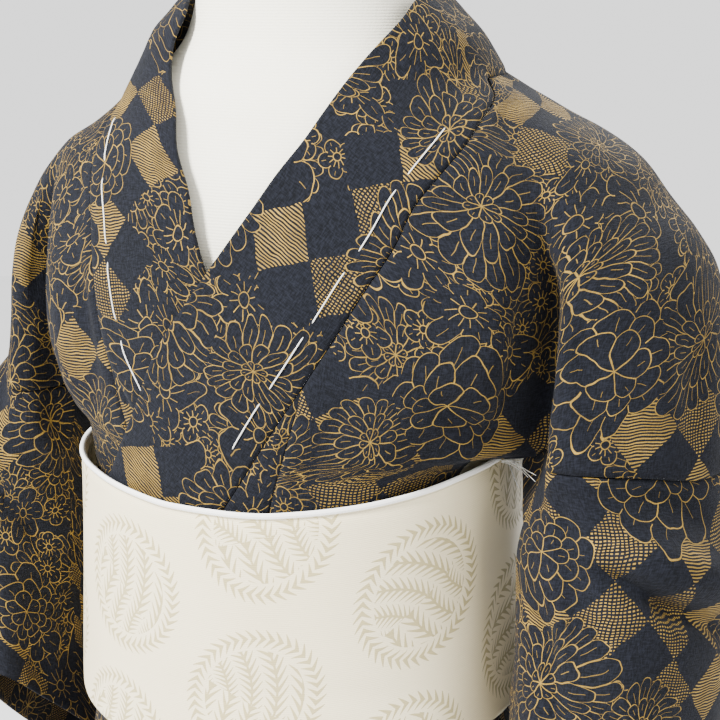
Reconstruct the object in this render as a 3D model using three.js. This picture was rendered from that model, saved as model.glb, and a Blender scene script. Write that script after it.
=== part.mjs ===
// A woman's kimono, worn left over right with its obi, on a limbless dress form and stand.
// Millimetres, +Z up. The wearer faces -Y, the wearer's left is +X, the floor is z = 0.
import * as THREE from 'three';

// Driving sizes
const CLOTH = 1.4;              // wall of one layer of cloth
const COLLAR_CLOTH = 1.9;       // the collar is folded double
const OBI_CLOTH = 3.0;          // the obi is folded lengthwise, two layers and their turn
const SEAM_GAP = 0.34;          // between pieces that are sewn edge to edge
const OVERLAP_LIFT = 4.6;       // how far the left front lies above the right front
const NECK_SEAM_Z = 1342;       // collar seam at the sides and back of the neck
const WAIST_Z = 1062;           // where the upper body ends, under the obi
const ARMHOLE_Z = 1146;         // lowest point of the sleeve seam
const SEAM_RISE = { left: -12, right: 46 }; // how far the sleeve seam climbs outside each arm
const OBI_HEIGHT = 156;
const OBI_TOP_Z = 1117;
const HEM_Z = 26;
const FOLD_Z = 902;             // lower edge of the waist fold
const BASE_RADIUS = 205;
const BASE_THICK = 14;
const POLE_RADIUS = 13;
const FORM_BOTTOM_Z = 806;

// The hull round chest, shoulders and upper arms: half widths to each side, depth front and back,
// how square the section is, and how far the arms are set back from the axis
const HULL = [
  { z: 1400, left: 66, right: 66, front: 52, back: 92, square: 2.1, setBack: 0 },
  { z: 1388, left: 74, right: 74, front: 56, back: 96, square: 2.1, setBack: 0 },
  { z: 1365, left: 97, right: 97, front: 68, back: 102, square: 2.1, setBack: 2 },
  { z: 1342, left: 111, right: 110, front: 82, back: 107, square: 2.15, setBack: 8 },
  { z: 1325, left: 140, right: 122, front: 93, back: 110, square: 2.2, setBack: 15 },
  { z: 1310, left: 171, right: 145, front: 101, back: 112, square: 2.25, setBack: 20 },
  { z: 1295, left: 192, right: 174, front: 107, back: 114, square: 2.3, setBack: 22 },
  { z: 1278, left: 205, right: 186, front: 111, back: 115, square: 2.35, setBack: 22 },
  { z: 1255, left: 227, right: 198, front: 115, back: 116, square: 2.4, setBack: 22 },
  { z: 1230, left: 240, right: 204, front: 118, back: 116, square: 2.5, setBack: 22 },
  { z: 1195, left: 246, right: 208, front: 119, back: 114, square: 2.5, setBack: 22 },
  { z: 1150, left: 250, right: 216, front: 119, back: 112, square: 2.5, setBack: 22 },
  { z: 1110, left: 252, right: 222, front: 119, back: 111, square: 2.5, setBack: 22 },
];

// The body under the arms and below: the waist is padded straight, the skirt narrows to its hem
const TRUNK = [
  { z: 1300, left: 178, right: 178, front: 107, back: 113, square: 2.4 },
  { z: 1250, left: 168, right: 168, front: 117, back: 112, square: 2.3 },
  { z: 1200, left: 156, right: 158, front: 118, back: 109, square: 2.3 },
  { z: 1150, left: 134, right: 141, front: 118.5, back: 108, square: 2.2 },
  { z: 1121, left: 119, right: 130, front: 118.5, back: 108, square: 2.2 },
  { z: 1062, left: 120, right: 132, front: 118, back: 108, square: 2.2 },
  { z: 960, left: 127, right: 138, front: 117, back: 112, square: 2.2 },
  { z: 880, left: 134, right: 142, front: 118, back: 120, square: 2.2 },
  { z: 700, left: 148, right: 150, front: 118, back: 122, square: 2.2 },
  { z: 350, left: 148, right: 148, front: 111, back: 112, square: 2.2 },
  { z: 0, left: 138, right: 138, front: 104, back: 104, square: 2.2 },
];

// The fold between trunk and upper arm: where it lies, how far it has formed, its half width,
// and how far the cloth beside it has come in to the trunk
const ARM_FOLD = [
  { z: 1300, left: 162, right: 146, formed: 0, spread: 9, drawnIn: 0 },
  { z: 1270, left: 165, right: 147, formed: 0.45, spread: 9, drawnIn: 0 },
  { z: 1240, left: 168, right: 148, formed: 0.85, spread: 10, drawnIn: 0 },
  { z: 1205, left: 167, right: 150, formed: 1, spread: 11, drawnIn: 0 },
  { z: 1180, left: 165, right: 152, formed: 1, spread: 12, drawnIn: 0.25 },
  { z: 1160, left: 163, right: 153, formed: 1, spread: 12, drawnIn: 0.6 },
  { z: 1135, left: 162, right: 154, formed: 1, spread: 12, drawnIn: 1 },
];
const FOLD_DEPTH = 44;           // how far in front of or behind the axis the fold's bottom lies

// Heights of the rows of cloth in the upper body, from the neck seam to the waist
const UPPER_ROWS = [1342, 1333, 1323, 1312, 1298, 1281, 1261, 1240, 1215, 1188, 1168, 1146, 1132, 1112, 1062];
const ARMHOLE_ROW = UPPER_ROWS.indexOf(ARMHOLE_Z);
const OKUMI_ROW = UPPER_ROWS.indexOf(1188);

// Front edge of each body panel: the collar seam down to the okumi point, the okumi seam below.
// Angles are in degrees from the wearer's side, -90 at centre front.
const PANEL_EDGE = {
  left: [
    { z: 1342, angle: -2 }, { z: 1333, angle: -12 }, { z: 1323, angle: -22.5 }, { z: 1312, angle: -30.2 },
    { z: 1298, angle: -36.8 }, { z: 1281, angle: -42.5 }, { z: 1261, angle: -46.8 }, { z: 1240, angle: -52 },
    { z: 1215, angle: -57.5 }, { z: 1188, angle: -63.8 }, { z: 1158, angle: -67 }, { z: 1121, angle: -71.5 },
    { z: 1062, angle: -78 }, { z: 880, angle: -84 }, { z: 0, angle: -80 },
  ],
  right: [
    { z: 1342, angle: -4 }, { z: 1333, angle: -20 }, { z: 1323, angle: -30 }, { z: 1312, angle: -37.5 },
    { z: 1298, angle: -44 }, { z: 1281, angle: -47.5 }, { z: 1261, angle: -50.7 }, { z: 1240, angle: -53.2 },
    { z: 1215, angle: -55.5 }, { z: 1188, angle: -58.5 }, { z: 1158, angle: -61.5 }, { z: 1121, angle: -66 },
    { z: 1062, angle: -74 }, { z: 880, angle: -84 }, { z: 0, angle: -80 },
  ],
};

// Collar seam below the okumi point, where the collar crosses centre front
const COLLAR_LOW_SEAM = {
  left: [{ z: 1188, angle: -63.8 }, { z: 1158, angle: -71.8 }, { z: 1121, angle: -82.3 }, { z: 1062, angle: -101 }],
  right: [{ z: 1188, angle: -58.5 }, { z: 1158, angle: -66 }, { z: 1121, angle: -76 }, { z: 1062, angle: -95 }],
};

// The collar's free edge opposite each height of its seam
const COLLAR_FREE_EDGE = {
  left: [
    { seamZ: 1342, z: 1386, angle: -6 }, { seamZ: 1333, z: 1372, angle: -26.5 }, { seamZ: 1323, z: 1357, angle: -40 },
    { seamZ: 1312, z: 1343, angle: -49.5 }, { seamZ: 1298, z: 1327, angle: -58 }, { seamZ: 1261, z: 1296, angle: -70.5 },
    { seamZ: 1228, z: 1268, angle: -80 }, { seamZ: 1199, z: 1240, angle: -89.2 }, { seamZ: 1158, z: 1198, angle: -103.8 },
    { seamZ: 1121, z: 1161, angle: -111 }, { seamZ: 1062, z: 1104, angle: -129 },
  ],
  right: [
    { seamZ: 1342, z: 1387, angle: -20 }, { seamZ: 1333, z: 1377, angle: -44 }, { seamZ: 1323, z: 1360, angle: -48.5 },
    { seamZ: 1312, z: 1348, angle: -54.5 }, { seamZ: 1298, z: 1325, angle: -69 }, { seamZ: 1261, z: 1285, angle: -82.5 },
    { seamZ: 1228, z: 1252, angle: -88 }, { seamZ: 1199, z: 1228, angle: -94 }, { seamZ: 1158, z: 1195, angle: -104 },
    { seamZ: 1121, z: 1160, angle: -111 }, { seamZ: 1062, z: 1102, angle: -129 },
  ],
};
const COLLAR_BACK_EDGE = [
  { angle: -6, z: 1386 }, { angle: 25, z: 1389 }, { angle: 58, z: 1388 }, { angle: 90, z: 1387 },
];

// Top edge of the obi: it rides a little higher over the wearer's left hip
const OBI_EDGE = [
  { angle: -180, rise: 7 }, { angle: -130, rise: 4 }, { angle: -100, rise: -1 }, { angle: -75, rise: 0 },
  { angle: -50, rise: 6 }, { angle: -20, rise: 14 }, { angle: 0, rise: 16 }, { angle: 60, rise: 11 },
  { angle: 180, rise: 7 },
];

// The sleeve bag as it hangs, from its seam (drop 0) to its mouth (drop 1)
const SLEEVE = [
  { drop: 0, outerLeft: 252, outerRight: 222, front: -66, back: 104 },
  { drop: 0.12, outerLeft: 256, outerRight: 232, front: -74, back: 106 },
  { drop: 0.3, outerLeft: 261, outerRight: 240, front: -80, back: 110 },
  { drop: 0.5, outerLeft: 258, outerRight: 240, front: -82, back: 116 },
  { drop: 0.75, outerLeft: 250, outerRight: 236, front: -84, back: 122 },
  { drop: 1, outerLeft: 242, outerRight: 230, front: -86, back: 126 },
];
const SLEEVE_ROWS = [0, 0.06, 0.14, 0.24, 0.36, 0.5, 0.64, 0.82, 1];
const SLEEVE_SQUARE = 2.7;
const SLEEVE_SEAM_GAP = 0.5;
const SLEEVE_FOLD = 0.06;        // hanging folds deepen to this share of the bag's half size
const SLEEVE_INNER_X = { left: 144, right: 151 }; // inner faces, just clear of the obi
const SLEEVE_INNER_TOP_Z = 1136; // the inner face is open above this, as the sleeve's own slit
const MOUTH_Z = 880;             // height of the sleeve's mouth below the axis
const MOUTH_SLOPE = 0.95;        // the mouth drops towards the back

// The dress form inside: always smaller than the cloth that it carries
const FORM = [
  { z: 1428, side: 62, front: 60, back: 66 },
  { z: 1400, side: 63, front: 59, back: 66 },
  { z: 1384, side: 66, front: 58, back: 68 },
  { z: 1362, side: 74, front: 62, back: 76 },
  { z: 1345, side: 90, front: 70, back: 88 },
  { z: 1330, side: 110, front: 80, back: 98 },
  { z: 1312, side: 131, front: 88, back: 104 },
  { z: 1295, side: 152, front: 96, back: 106 },
  { z: 1275, side: 158, front: 102, back: 106 },
  { z: 1240, side: 152, front: 108, back: 104 },
  { z: 1190, side: 134, front: 110, back: 101 },
  { z: 1121, side: 112, front: 109, back: 100 },
  { z: 1040, side: 112, front: 108, back: 99 },
  { z: 950, side: 119, front: 106, back: 103 },
  { z: 880, side: 124, front: 106, back: 108 },
  { z: 830, side: 128, front: 105, back: 108 },
  { z: FORM_BOTTOM_Z, side: 122, front: 94, back: 97 },
];
const FORM_SQUARE = 2.05;

// Colours and finishes
const FINISH = {
  navyCloth: new THREE.MeshStandardMaterial({ color: 0x2e323c, roughness: 0.85, metalness: 0 }),
  obiCloth: new THREE.MeshStandardMaterial({ color: 0xede8d3, roughness: 0.6, metalness: 0 }),
  formCloth: new THREE.MeshStandardMaterial({ color: 0xf6f3e0, roughness: 0.9, metalness: 0 }),
  wood: new THREE.MeshStandardMaterial({ color: 0xb48a5a, roughness: 0.5, metalness: 0 }),
  steel: new THREE.MeshStandardMaterial({ color: 0xd0d2d4, roughness: 0.3, metalness: 0.9 }),
};

const radians = THREE.MathUtils.degToRad;
const mix = THREE.MathUtils.lerp;

// One column of a table at a given key, straight between its rows
function lookUp(table, key, at, column) {
  const rows = table[0][key] < table[table.length - 1][key] ? table : [...table].reverse();
  if (at <= rows[0][key]) return rows[0][column];
  for (let k = 1; k < rows.length; k += 1) {
    if (at <= rows[k][key]) {
      const share = (at - rows[k - 1][key]) / (rows[k][key] - rows[k - 1][key]);
      return mix(rows[k - 1][column], rows[k][column], share);
    }
  }
  return rows[rows.length - 1][column];
}

// Distance from the axis to a rounded oval, in the direction of an angle
function ovalRadius(angle, halfWidth, depth, square) {
  const across = Math.abs(Math.cos(angle) / halfWidth) ** square;
  const along = Math.abs(Math.sin(angle) / depth) ** square;
  return (across + along) ** (-1 / square);
}

// Radius of a section. Past centre front or back, a panel lies over the other side's half width.
function sectionRadius(table, side, angle, z) {
  const overLeft = side * Math.cos(angle) >= 0;
  const halfWidth = lookUp(table, 'z', z, overLeft ? 'left' : 'right');
  const depth = lookUp(table, 'z', z, Math.sin(angle) < 0 ? 'front' : 'back');
  return ovalRadius(angle, halfWidth, depth, lookUp(table, 'z', z, 'square'));
}

// A point of the hull, with the arms set back from the axis
function hullPoint(side, angle, z) {
  const radius = sectionRadius(HULL, side, angle, z);
  const setBack = lookUp(HULL, 'z', z, 'setBack') * Math.cos(angle) ** 2;
  return new THREE.Vector3(side * radius * Math.cos(angle), radius * Math.sin(angle) + setBack, z);
}

function trunkPoint(side, angle, z, out = 0) {
  const radius = sectionRadius(TRUNK, side, angle, z) + out;
  return new THREE.Vector3(side * radius * Math.cos(angle), radius * Math.sin(angle), z);
}

function foldX(side, z) {
  return lookUp(ARM_FOLD, 'z', z, side > 0 ? 'left' : 'right');
}

// Angle of the arm fold at a height, in front (-1) or behind (+1)
function foldAngle(side, face, z) {
  let [low, high] = [radians(4), radians(80)];
  for (let step = 0; step < 24; step += 1) {
    const middle = (low + high) / 2;
    const x = sectionRadius(HULL, side, face * middle, z) * Math.cos(middle);
    if (x > foldX(side, z)) low = middle;
    else high = middle;
  }
  return face * low;
}

const TRUNK_BELOW_Z = 1133;      // just above the obi and below it, the cloth lies on the trunk

// A point of the worn cloth: the hull, drawn in to the trunk beside the arm folds and above
// the obi, and pressed back along the folds. Out moves it off that surface.
function wornPoint(side, angle, z, out = 0) {
  if (z <= TRUNK_BELOW_Z) return trunkPoint(side, angle, z, out);
  const point = hullPoint(side, angle, z);
  const face = Math.sin(angle) < 0 ? -1 : 1;
  const inside = foldX(side, z) - side * point.x;
  const drawnIn = lookUp(ARM_FOLD, 'z', z, 'drawnIn') * THREE.MathUtils.smoothstep(inside, 0, 24);
  point.lerp(trunkPoint(side, angle, z), drawnIn);
  const depthInFold = face * FOLD_DEPTH + lookUp(HULL, 'z', z, 'setBack') / 2;
  const groove = lookUp(ARM_FOLD, 'z', z, 'formed') * Math.exp(-((inside / lookUp(ARM_FOLD, 'z', z, 'spread')) ** 2));
  point.y = mix(point.y, depthInFold, groove);
  point.x += side * out * Math.cos(angle);
  point.y += out * Math.sin(angle);
  return point;
}

// A closed wall from a grid of points: its outer face, its inner face, and the edges between.
// grid[row][column]; wrap joins the last column to the first; keep says which cells are cloth.
function wallGeometry(grid, { thick, wrap = false, keep = () => true, flip = false }) {
  const rows = grid.length;
  const columns = grid[0].length;
  const index = (i, j) => i * columns + (j % columns);
  const faces = [];
  for (let i = 0; i < rows - 1; i += 1) {
    for (let j = 0; j < (wrap ? columns : columns - 1); j += 1) {
      if (keep(i, j)) faces.push([index(i, j), index(i + 1, j), index(i + 1, j + 1), index(i, j + 1)]);
    }
  }
  if (flip) faces.forEach((face) => face.reverse());
  const points = grid.flat();
  const normals = points.map(() => new THREE.Vector3());
  for (const [a, b, c, d] of faces) {
    const across = points[c].clone().sub(points[a]);
    const normal = across.cross(points[d].clone().sub(points[b])).normalize();
    [a, b, c, d].forEach((corner) => normals[corner].add(normal));
  }
  const used = new Map();
  faces.flat().forEach((corner) => {
    if (!used.has(corner)) used.set(corner, used.size);
  });
  const outer = (corner) => used.get(corner);
  const inner = (corner) => used.get(corner) + used.size;
  const positions = new Float32Array(used.size * 6);
  for (const [corner, slot] of used) {
    const inward = normals[corner].normalize().multiplyScalar(-thick).add(points[corner]);
    positions.set(points[corner].toArray(), slot * 3);
    positions.set(inward.toArray(), (slot + used.size) * 3);
  }
  const triangles = [];
  const quad = (a, b, c, d) => triangles.push(a, b, c, a, c, d);
  const edges = new Set();
  for (const face of faces) {
    const [a, b, c, d] = face;
    quad(outer(a), outer(b), outer(c), outer(d));
    quad(inner(d), inner(c), inner(b), inner(a));
    face.forEach((corner, k) => edges.add(`${corner},${face[(k + 1) % 4]}`));
  }
  for (const edge of edges) {
    const [from, to] = edge.split(',').map(Number);
    if (!edges.has(`${to},${from}`)) quad(outer(to), outer(from), inner(from), inner(to));
  }
  const geometry = new THREE.BufferGeometry();
  geometry.setAttribute('position', new THREE.BufferAttribute(positions, 3));
  geometry.setIndex(triangles);
  geometry.computeVertexNormals();
  return geometry;
}

const garment = new THREE.Group();

function addPiece(name, geometry, material) {
  const mesh = new THREE.Mesh(geometry, material);
  mesh.name = name;
  garment.add(mesh);
}

const SIDES = [{ name: 'left', side: 1 }, { name: 'right', side: -1 }];

// Upper body

// Share of full overlap lift: whole below the crossing of the collars, none at the shoulders
function liftAt(side, angle, z) {
  if (side < 0) return 0;
  const byHeight = THREE.MathUtils.smoothstep(1290 - z, 0, 50);
  const byAngle = THREE.MathUtils.smoothstep(-THREE.MathUtils.radToDeg(angle), 36, 48);
  return OVERLAP_LIFT * byHeight * byAngle;
}

// Angles of one row's columns, from the panel's front edge round the side to centre back
const COLUMNS_BETWEEN = [4, 3, 3, 3, 3, 3, 3, 4];
const FOLD_COLUMNS = { front: 7, back: 19 };
const FOLD_REACH = radians(6);
const LEAST_STEP = radians(3);
const TUCK_ANGLE = radians(20);  // below the armhole the panels end this far round the side

function columnAngles(side, z) {
  const name = side > 0 ? 'left' : 'right';
  const front = radians(lookUp(PANEL_EDGE[name], 'z', z, 'angle'));
  const tucked = z < ARMHOLE_Z;
  const foldFront = tucked ? -TUCK_ANGLE : foldAngle(side, -1, Math.min(z, 1300));
  const foldBack = tucked ? TUCK_ANGLE : foldAngle(side, 1, Math.min(z, 1300));
  const keys = [front + SEAM_GAP / 2 / 120];
  for (const wanted of [foldFront - FOLD_REACH, foldFront, foldFront + FOLD_REACH, 0]) {
    keys.push(Math.max(wanted, keys[keys.length - 1] + LEAST_STEP));
  }
  keys.push(foldBack - FOLD_REACH, foldBack, foldBack + FOLD_REACH, Math.PI / 2 - SEAM_GAP / 2 / 108);
  const angles = [keys[0]];
  COLUMNS_BETWEEN.forEach((count, k) => {
    for (let step = 1; step <= count; step += 1) angles.push(mix(keys[k], keys[k + 1], step / count));
  });
  return angles;
}

// Height of the sleeve seam at a column: level in front and behind, higher outside the arm
function sleeveSeamZ(side, angle) {
  const fold = foldAngle(side, Math.sign(angle) || 1, ARMHOLE_Z);
  const outward = Math.max(0, 1 - Math.abs(angle / fold));
  return ARMHOLE_Z + SEAM_RISE[side > 0 ? 'left' : 'right'] * THREE.MathUtils.smoothstep(outward, 0.2, 0.9);
}

function upperGrid(side) {
  const seamAngles = columnAngles(side, ARMHOLE_Z);
  return UPPER_ROWS.map((rowZ, i) => columnAngles(side, rowZ).map((rowAngle, j) => {
    const share = (NECK_SEAM_Z - rowZ) / (NECK_SEAM_Z - ARMHOLE_Z);
    const seamZ = sleeveSeamZ(side, seamAngles[j]);
    const z = i <= ARMHOLE_ROW ? NECK_SEAM_Z - share * (NECK_SEAM_Z - seamZ) : rowZ;
    return wornPoint(side, rowAngle, z, liftAt(side, rowAngle, z));
  }));
}

function bodyPanel(side) {
  const clothCell = (i, j) => i < ARMHOLE_ROW || j < FOLD_COLUMNS.front || j >= FOLD_COLUMNS.back;
  return wallGeometry(upperGrid(side), { thick: CLOTH, keep: clothCell, flip: side < 0 });
}

// The narrow front panel between the body and the collar, from its point to the waist fold
const OKUMI_ROWS = [1186, ...UPPER_ROWS.slice(OKUMI_ROW + 1)];

function okumiPanel(side) {
  const name = side > 0 ? 'left' : 'right';
  const grid = OKUMI_ROWS.map((z) => {
    const bodySeam = radians(lookUp(PANEL_EDGE[name], 'z', z, 'angle')) - SEAM_GAP / 2 / 120;
    const collarSeam = radians(lookUp(COLLAR_LOW_SEAM[name], 'z', z, 'angle')) + SEAM_GAP / 2 / 120;
    return [0, 1 / 3, 2 / 3, 1].map((share) => {
      const angle = mix(collarSeam, bodySeam, share);
      return wornPoint(side, angle, z, liftAt(side, angle, z));
    });
  });
  return wallGeometry(grid, { thick: CLOTH, flip: side < 0 });
}

// Collar

const COLLAR_PROUD = 0.4;
const COLLAR_ROUND = 0.8;
const NECK_CURVE_Z = 1320;       // above this the collar seam runs round the neck

// Points across the collar at one station, from its seam to its free edge
function collarStation(side, seam, free) {
  return [0, 0.25, 0.5, 0.75, 1].map((share) => {
    const angle = mix(seam.angle, free.angle, share);
    const z = mix(seam.z, free.z, share);
    const roundness = COLLAR_ROUND * Math.sin(Math.PI * share);
    return wornPoint(side, angle, z, liftAt(side, angle, z) + COLLAR_PROUD + roundness);
  });
}

// Stations of one half: up the front seam, then round the neck to centre back
function collarHalf(side) {
  const name = side > 0 ? 'left' : 'right';
  const stations = [];
  for (const z of [...UPPER_ROWS].reverse()) {
    const table = z < 1188 ? COLLAR_LOW_SEAM[name] : PANEL_EDGE[name];
    const seam = { z, angle: radians(lookUp(table, 'z', z, 'angle')) - SEAM_GAP / 2 / 100 };
    if (z > NECK_CURVE_Z) seam.z += SEAM_GAP;
    const free = {
      z: lookUp(COLLAR_FREE_EDGE[name], 'seamZ', z, 'z'),
      angle: radians(lookUp(COLLAR_FREE_EDGE[name], 'seamZ', z, 'angle')),
    };
    stations.push(collarStation(side, seam, free));
  }
  const turned = radians(COLLAR_FREE_EDGE[name][0].angle);
  const angles = columnAngles(side, NECK_SEAM_Z);
  for (const angle of angles.slice(1)) {
    const share = (angle - angles[0]) / (Math.PI / 2 - angles[0]);
    const freeAngle = mix(turned, Math.PI / 2, share);
    const freeZ = lookUp(COLLAR_BACK_EDGE, 'angle', THREE.MathUtils.radToDeg(freeAngle), 'z');
    const seam = { z: NECK_SEAM_Z + SEAM_GAP, angle };
    stations.push(collarStation(side, seam, { z: freeZ, angle: freeAngle }));
  }
  return stations;
}

function collarBand() {
  const left = collarHalf(1);
  const right = collarHalf(-1).reverse();
  return wallGeometry([...left, ...right], { thick: COLLAR_CLOTH });
}

// Sleeves

// The ring that a sleeve hangs from: the body's seam round the arm, then the slit towards the body.
// Each point keeps its own angle round the sleeve all the way down.
function sleeveTop(side) {
  const outer = SLEEVE[0][side > 0 ? 'outerLeft' : 'outerRight'];
  const innerX = SLEEVE_INNER_X[side > 0 ? 'left' : 'right'];
  const middle = { x: (innerX + outer) / 2, y: (SLEEVE[0].front + SLEEVE[0].back) / 2 };
  const rim = columnAngles(side, ARMHOLE_Z).slice(FOLD_COLUMNS.front, FOLD_COLUMNS.back + 1).map((angle) => {
    const z = sleeveSeamZ(side, angle);
    const point = wornPoint(1, angle, z);
    if (side < 0) point.copy(wornPoint(-1, angle, z).multiply(new THREE.Vector3(-1, 1, 1)));
    point.z -= SLEEVE_SEAM_GAP;
    const across = (point.x - middle.x) / (outer - middle.x);
    const along = (point.y - middle.y) / (SLEEVE[0].back - middle.y);
    return { point, angle: Math.atan2(along, across) };
  });
  const first = rim[0];
  const last = rim[rim.length - 1];
  const slit = [1, 2, 3, 4, 5, 6, 7].map((k) => {
    const y = mix(last.point.y, first.point.y, k / 8) * 0.85;
    const angle = mix(last.angle, first.angle + Math.PI * 2, k / 8);
    return { point: new THREE.Vector3(innerX, y, SLEEVE_INNER_TOP_Z), angle };
  });
  return [...rim, ...slit];
}

function sleeveBag(side) {
  const outerColumn = side > 0 ? 'outerLeft' : 'outerRight';
  const innerX = SLEEVE_INNER_X[side > 0 ? 'left' : 'right'];
  const top = sleeveTop(side);
  const grid = SLEEVE_ROWS.map((drop) => top.map(({ point, angle }) => {
    const outer = lookUp(SLEEVE, 'drop', drop, outerColumn);
    const front = lookUp(SLEEVE, 'drop', drop, 'front');
    const back = lookUp(SLEEVE, 'drop', drop, 'back');
    const unit = ovalRadius(angle, 1, 1, SLEEVE_SQUARE) * (1 + drop * SLEEVE_FOLD * Math.sin(4 * angle + 2.2));
    const x = (innerX + outer) / 2 + ((outer - innerX) / 2) * unit * Math.cos(angle);
    const y = (front + back) / 2 + ((back - front) / 2) * unit * Math.sin(angle);
    const blend = THREE.MathUtils.smoothstep(drop, 0, 0.24);
    const z = mix(point.z, MOUTH_Z - MOUTH_SLOPE * y, drop);
    return new THREE.Vector3(side * mix(point.x, x, blend), mix(point.y, y, blend), z);
  }));
  return wallGeometry(grid, { thick: CLOTH, wrap: true, flip: side < 0 });
}

// Waist fold and skirt

function trunkStrip(side, heights, angleRange, offset, steps) {
  return heights.map((z, i) => Array.from({ length: steps + 1 }, (_, j) => {
    const [from, to] = angleRange(z);
    const angle = mix(from, to, j / steps);
    return trunkPoint(side, angle, z, offset(z, i, angle));
  }));
}

const CENTRE_BACK = Math.PI / 2 - SEAM_GAP / 2 / 108;
const FOLD_ROWS = [WAIST_Z - SEAM_GAP, 1010, 962, 935, 915, FOLD_Z];
const FOLD_SWELL = [
  { z: 1062, out: 0 }, { z: 962, out: 0.5 }, { z: 935, out: 3 }, { z: 915, out: 4.5 }, { z: FOLD_Z, out: 2 },
];
const FOLD_EDGE = { left: radians(-128), right: radians(-122) };

function waistFold(side) {
  const name = side > 0 ? 'left' : 'right';
  const inner = side > 0 ? OVERLAP_LIFT : 0;
  const steps = 20;
  const range = () => [FOLD_EDGE[name], CENTRE_BACK];
  const offset = (z, i, angle) => {
    const lift = inner * THREE.MathUtils.smoothstep(-THREE.MathUtils.radToDeg(angle), 36, 48);
    return lift + lookUp(FOLD_SWELL, 'z', z, 'out');
  };
  return wallGeometry(trunkStrip(side, FOLD_ROWS, range, offset, steps), { thick: CLOTH, flip: side < 0 });
}

const SKIRT_ROWS = [1040, 960, 880, 780, 640, 480, 320, 160, HEM_Z];
const SKIRT_INSET = { outer: 2.4, under: 6 }; // the right front lies under the left front
const SKIRT_FRONT_EDGE = { left: radians(-136), right: radians(-130) };

function skirtOffset(side) {
  return (z, i, angle) => {
    const under = side < 0 ? THREE.MathUtils.smoothstep(-THREE.MathUtils.radToDeg(angle), 0, 38) : 0;
    return -mix(SKIRT_INSET.outer, SKIRT_INSET.under, under);
  };
}

function skirtPanel(side) {
  const name = side > 0 ? 'left' : 'right';
  const range = (z) => [radians(lookUp(PANEL_EDGE[name], 'z', z, 'angle')) + SEAM_GAP / 2 / 110, CENTRE_BACK];
  const grid = trunkStrip(side, SKIRT_ROWS, range, skirtOffset(side), 18);
  return wallGeometry(grid, { thick: CLOTH, flip: side < 0 });
}

function skirtOkumi(side) {
  const name = side > 0 ? 'left' : 'right';
  const range = (z) => [
    SKIRT_FRONT_EDGE[name],
    radians(lookUp(PANEL_EDGE[name], 'z', z, 'angle')) - SEAM_GAP / 2 / 110,
  ];
  const grid = trunkStrip(side, SKIRT_ROWS, range, skirtOffset(side), 5);
  return wallGeometry(grid, { thick: CLOTH, flip: side < 0 });
}

// Obi: one band wound round the waist, its end lying over its start at the back
const OBI_OFFSET = 9.6;
const OBI_START = radians(60);
const OBI_TURN = radians(398);
const OBI_STEPS = 56;

function obiBand() {
  const rowShares = [0, 0.04, 0.25, 0.5, 0.75, 0.96, 1];
  const grid = rowShares.map((share) => Array.from({ length: OBI_STEPS + 1 }, (_, j) => {
    const turned = (j / OBI_STEPS) * OBI_TURN;
    const angle = OBI_START + turned;
    const degrees = ((THREE.MathUtils.radToDeg(angle) + 180) % 360) - 180;
    const topZ = OBI_TOP_Z + lookUp(OBI_EDGE, 'angle', degrees, 'rise');
    const onTop = THREE.MathUtils.smoothstep(turned, radians(325), radians(356)) * (OBI_CLOTH + 1.2);
    const z = topZ - share * OBI_HEIGHT;
    const point = trunkPoint(1, angle, Math.min(z, OBI_TOP_Z), OBI_OFFSET + onTop);
    point.z = z;
    return point;
  }));
  return wallGeometry(grid, { thick: OBI_CLOTH });
}

// Dress form and stand

// A closed body from rings of equal count, with a point in the middle of each end
function ringBody(rings) {
  const count = rings[0].length;
  const points = [...rings.flat()];
  const middle = (ring) => ring.reduce((sum, p) => sum.add(p), new THREE.Vector3()).divideScalar(ring.length);
  points.push(middle(rings[0]), middle(rings[rings.length - 1]));
  const triangles = [];
  for (let i = 0; i < rings.length - 1; i += 1) {
    for (let j = 0; j < count; j += 1) {
      const next = (j + 1) % count;
      const [a, b] = [i * count + j, i * count + next];
      const [c, d] = [(i + 1) * count + next, (i + 1) * count + j];
      triangles.push(a, d, c, a, c, b);
    }
  }
  const last = (rings.length - 1) * count;
  for (let j = 0; j < count; j += 1) {
    const next = (j + 1) % count;
    triangles.push(points.length - 2, j, next);
    triangles.push(points.length - 1, last + next, last + j);
  }
  const geometry = new THREE.BufferGeometry();
  geometry.setAttribute('position', new THREE.BufferAttribute(new Float32Array(points.flatMap((p) => p.toArray())), 3));
  geometry.setIndex(triangles);
  geometry.computeVertexNormals();
  return geometry;
}

function formTorso() {
  const around = 40;
  const rings = FORM.map((row) => Array.from({ length: around }, (_, j) => {
    const angle = (j / around) * Math.PI * 2;
    const depth = Math.sin(angle) < 0 ? row.front : row.back;
    const radius = ovalRadius(angle, row.side, depth, FORM_SQUARE);
    return new THREE.Vector3(radius * Math.cos(angle), radius * Math.sin(angle), row.z);
  }));
  return ringBody(rings);
}

function turned(profile) {
  const points = profile.map(([radius, z]) => new THREE.Vector2(radius, z));
  const geometry = new THREE.LatheGeometry(points, 40);
  geometry.rotateX(Math.PI / 2);
  return geometry;
}

function neckCap() {
  const foot = FORM[0].z + SEAM_GAP;
  return turned([[0, foot], [60, foot], [62, foot + 3], [61, foot + 9], [50, foot + 14], [14, foot + 17],
    [12, foot + 22], [15, foot + 30], [11, foot + 39], [0, foot + 42]]);
}

function standPole() {
  return turned([[0, BASE_THICK + SEAM_GAP], [POLE_RADIUS, BASE_THICK + SEAM_GAP],
    [POLE_RADIUS, FORM_BOTTOM_Z - SEAM_GAP], [0, FORM_BOTTOM_Z - SEAM_GAP]]);
}

function standBase() {
  return turned([[0, 0], [BASE_RADIUS, 0], [BASE_RADIUS, BASE_THICK - 4], [BASE_RADIUS - 4, BASE_THICK],
    [0, BASE_THICK]]);
}

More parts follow.
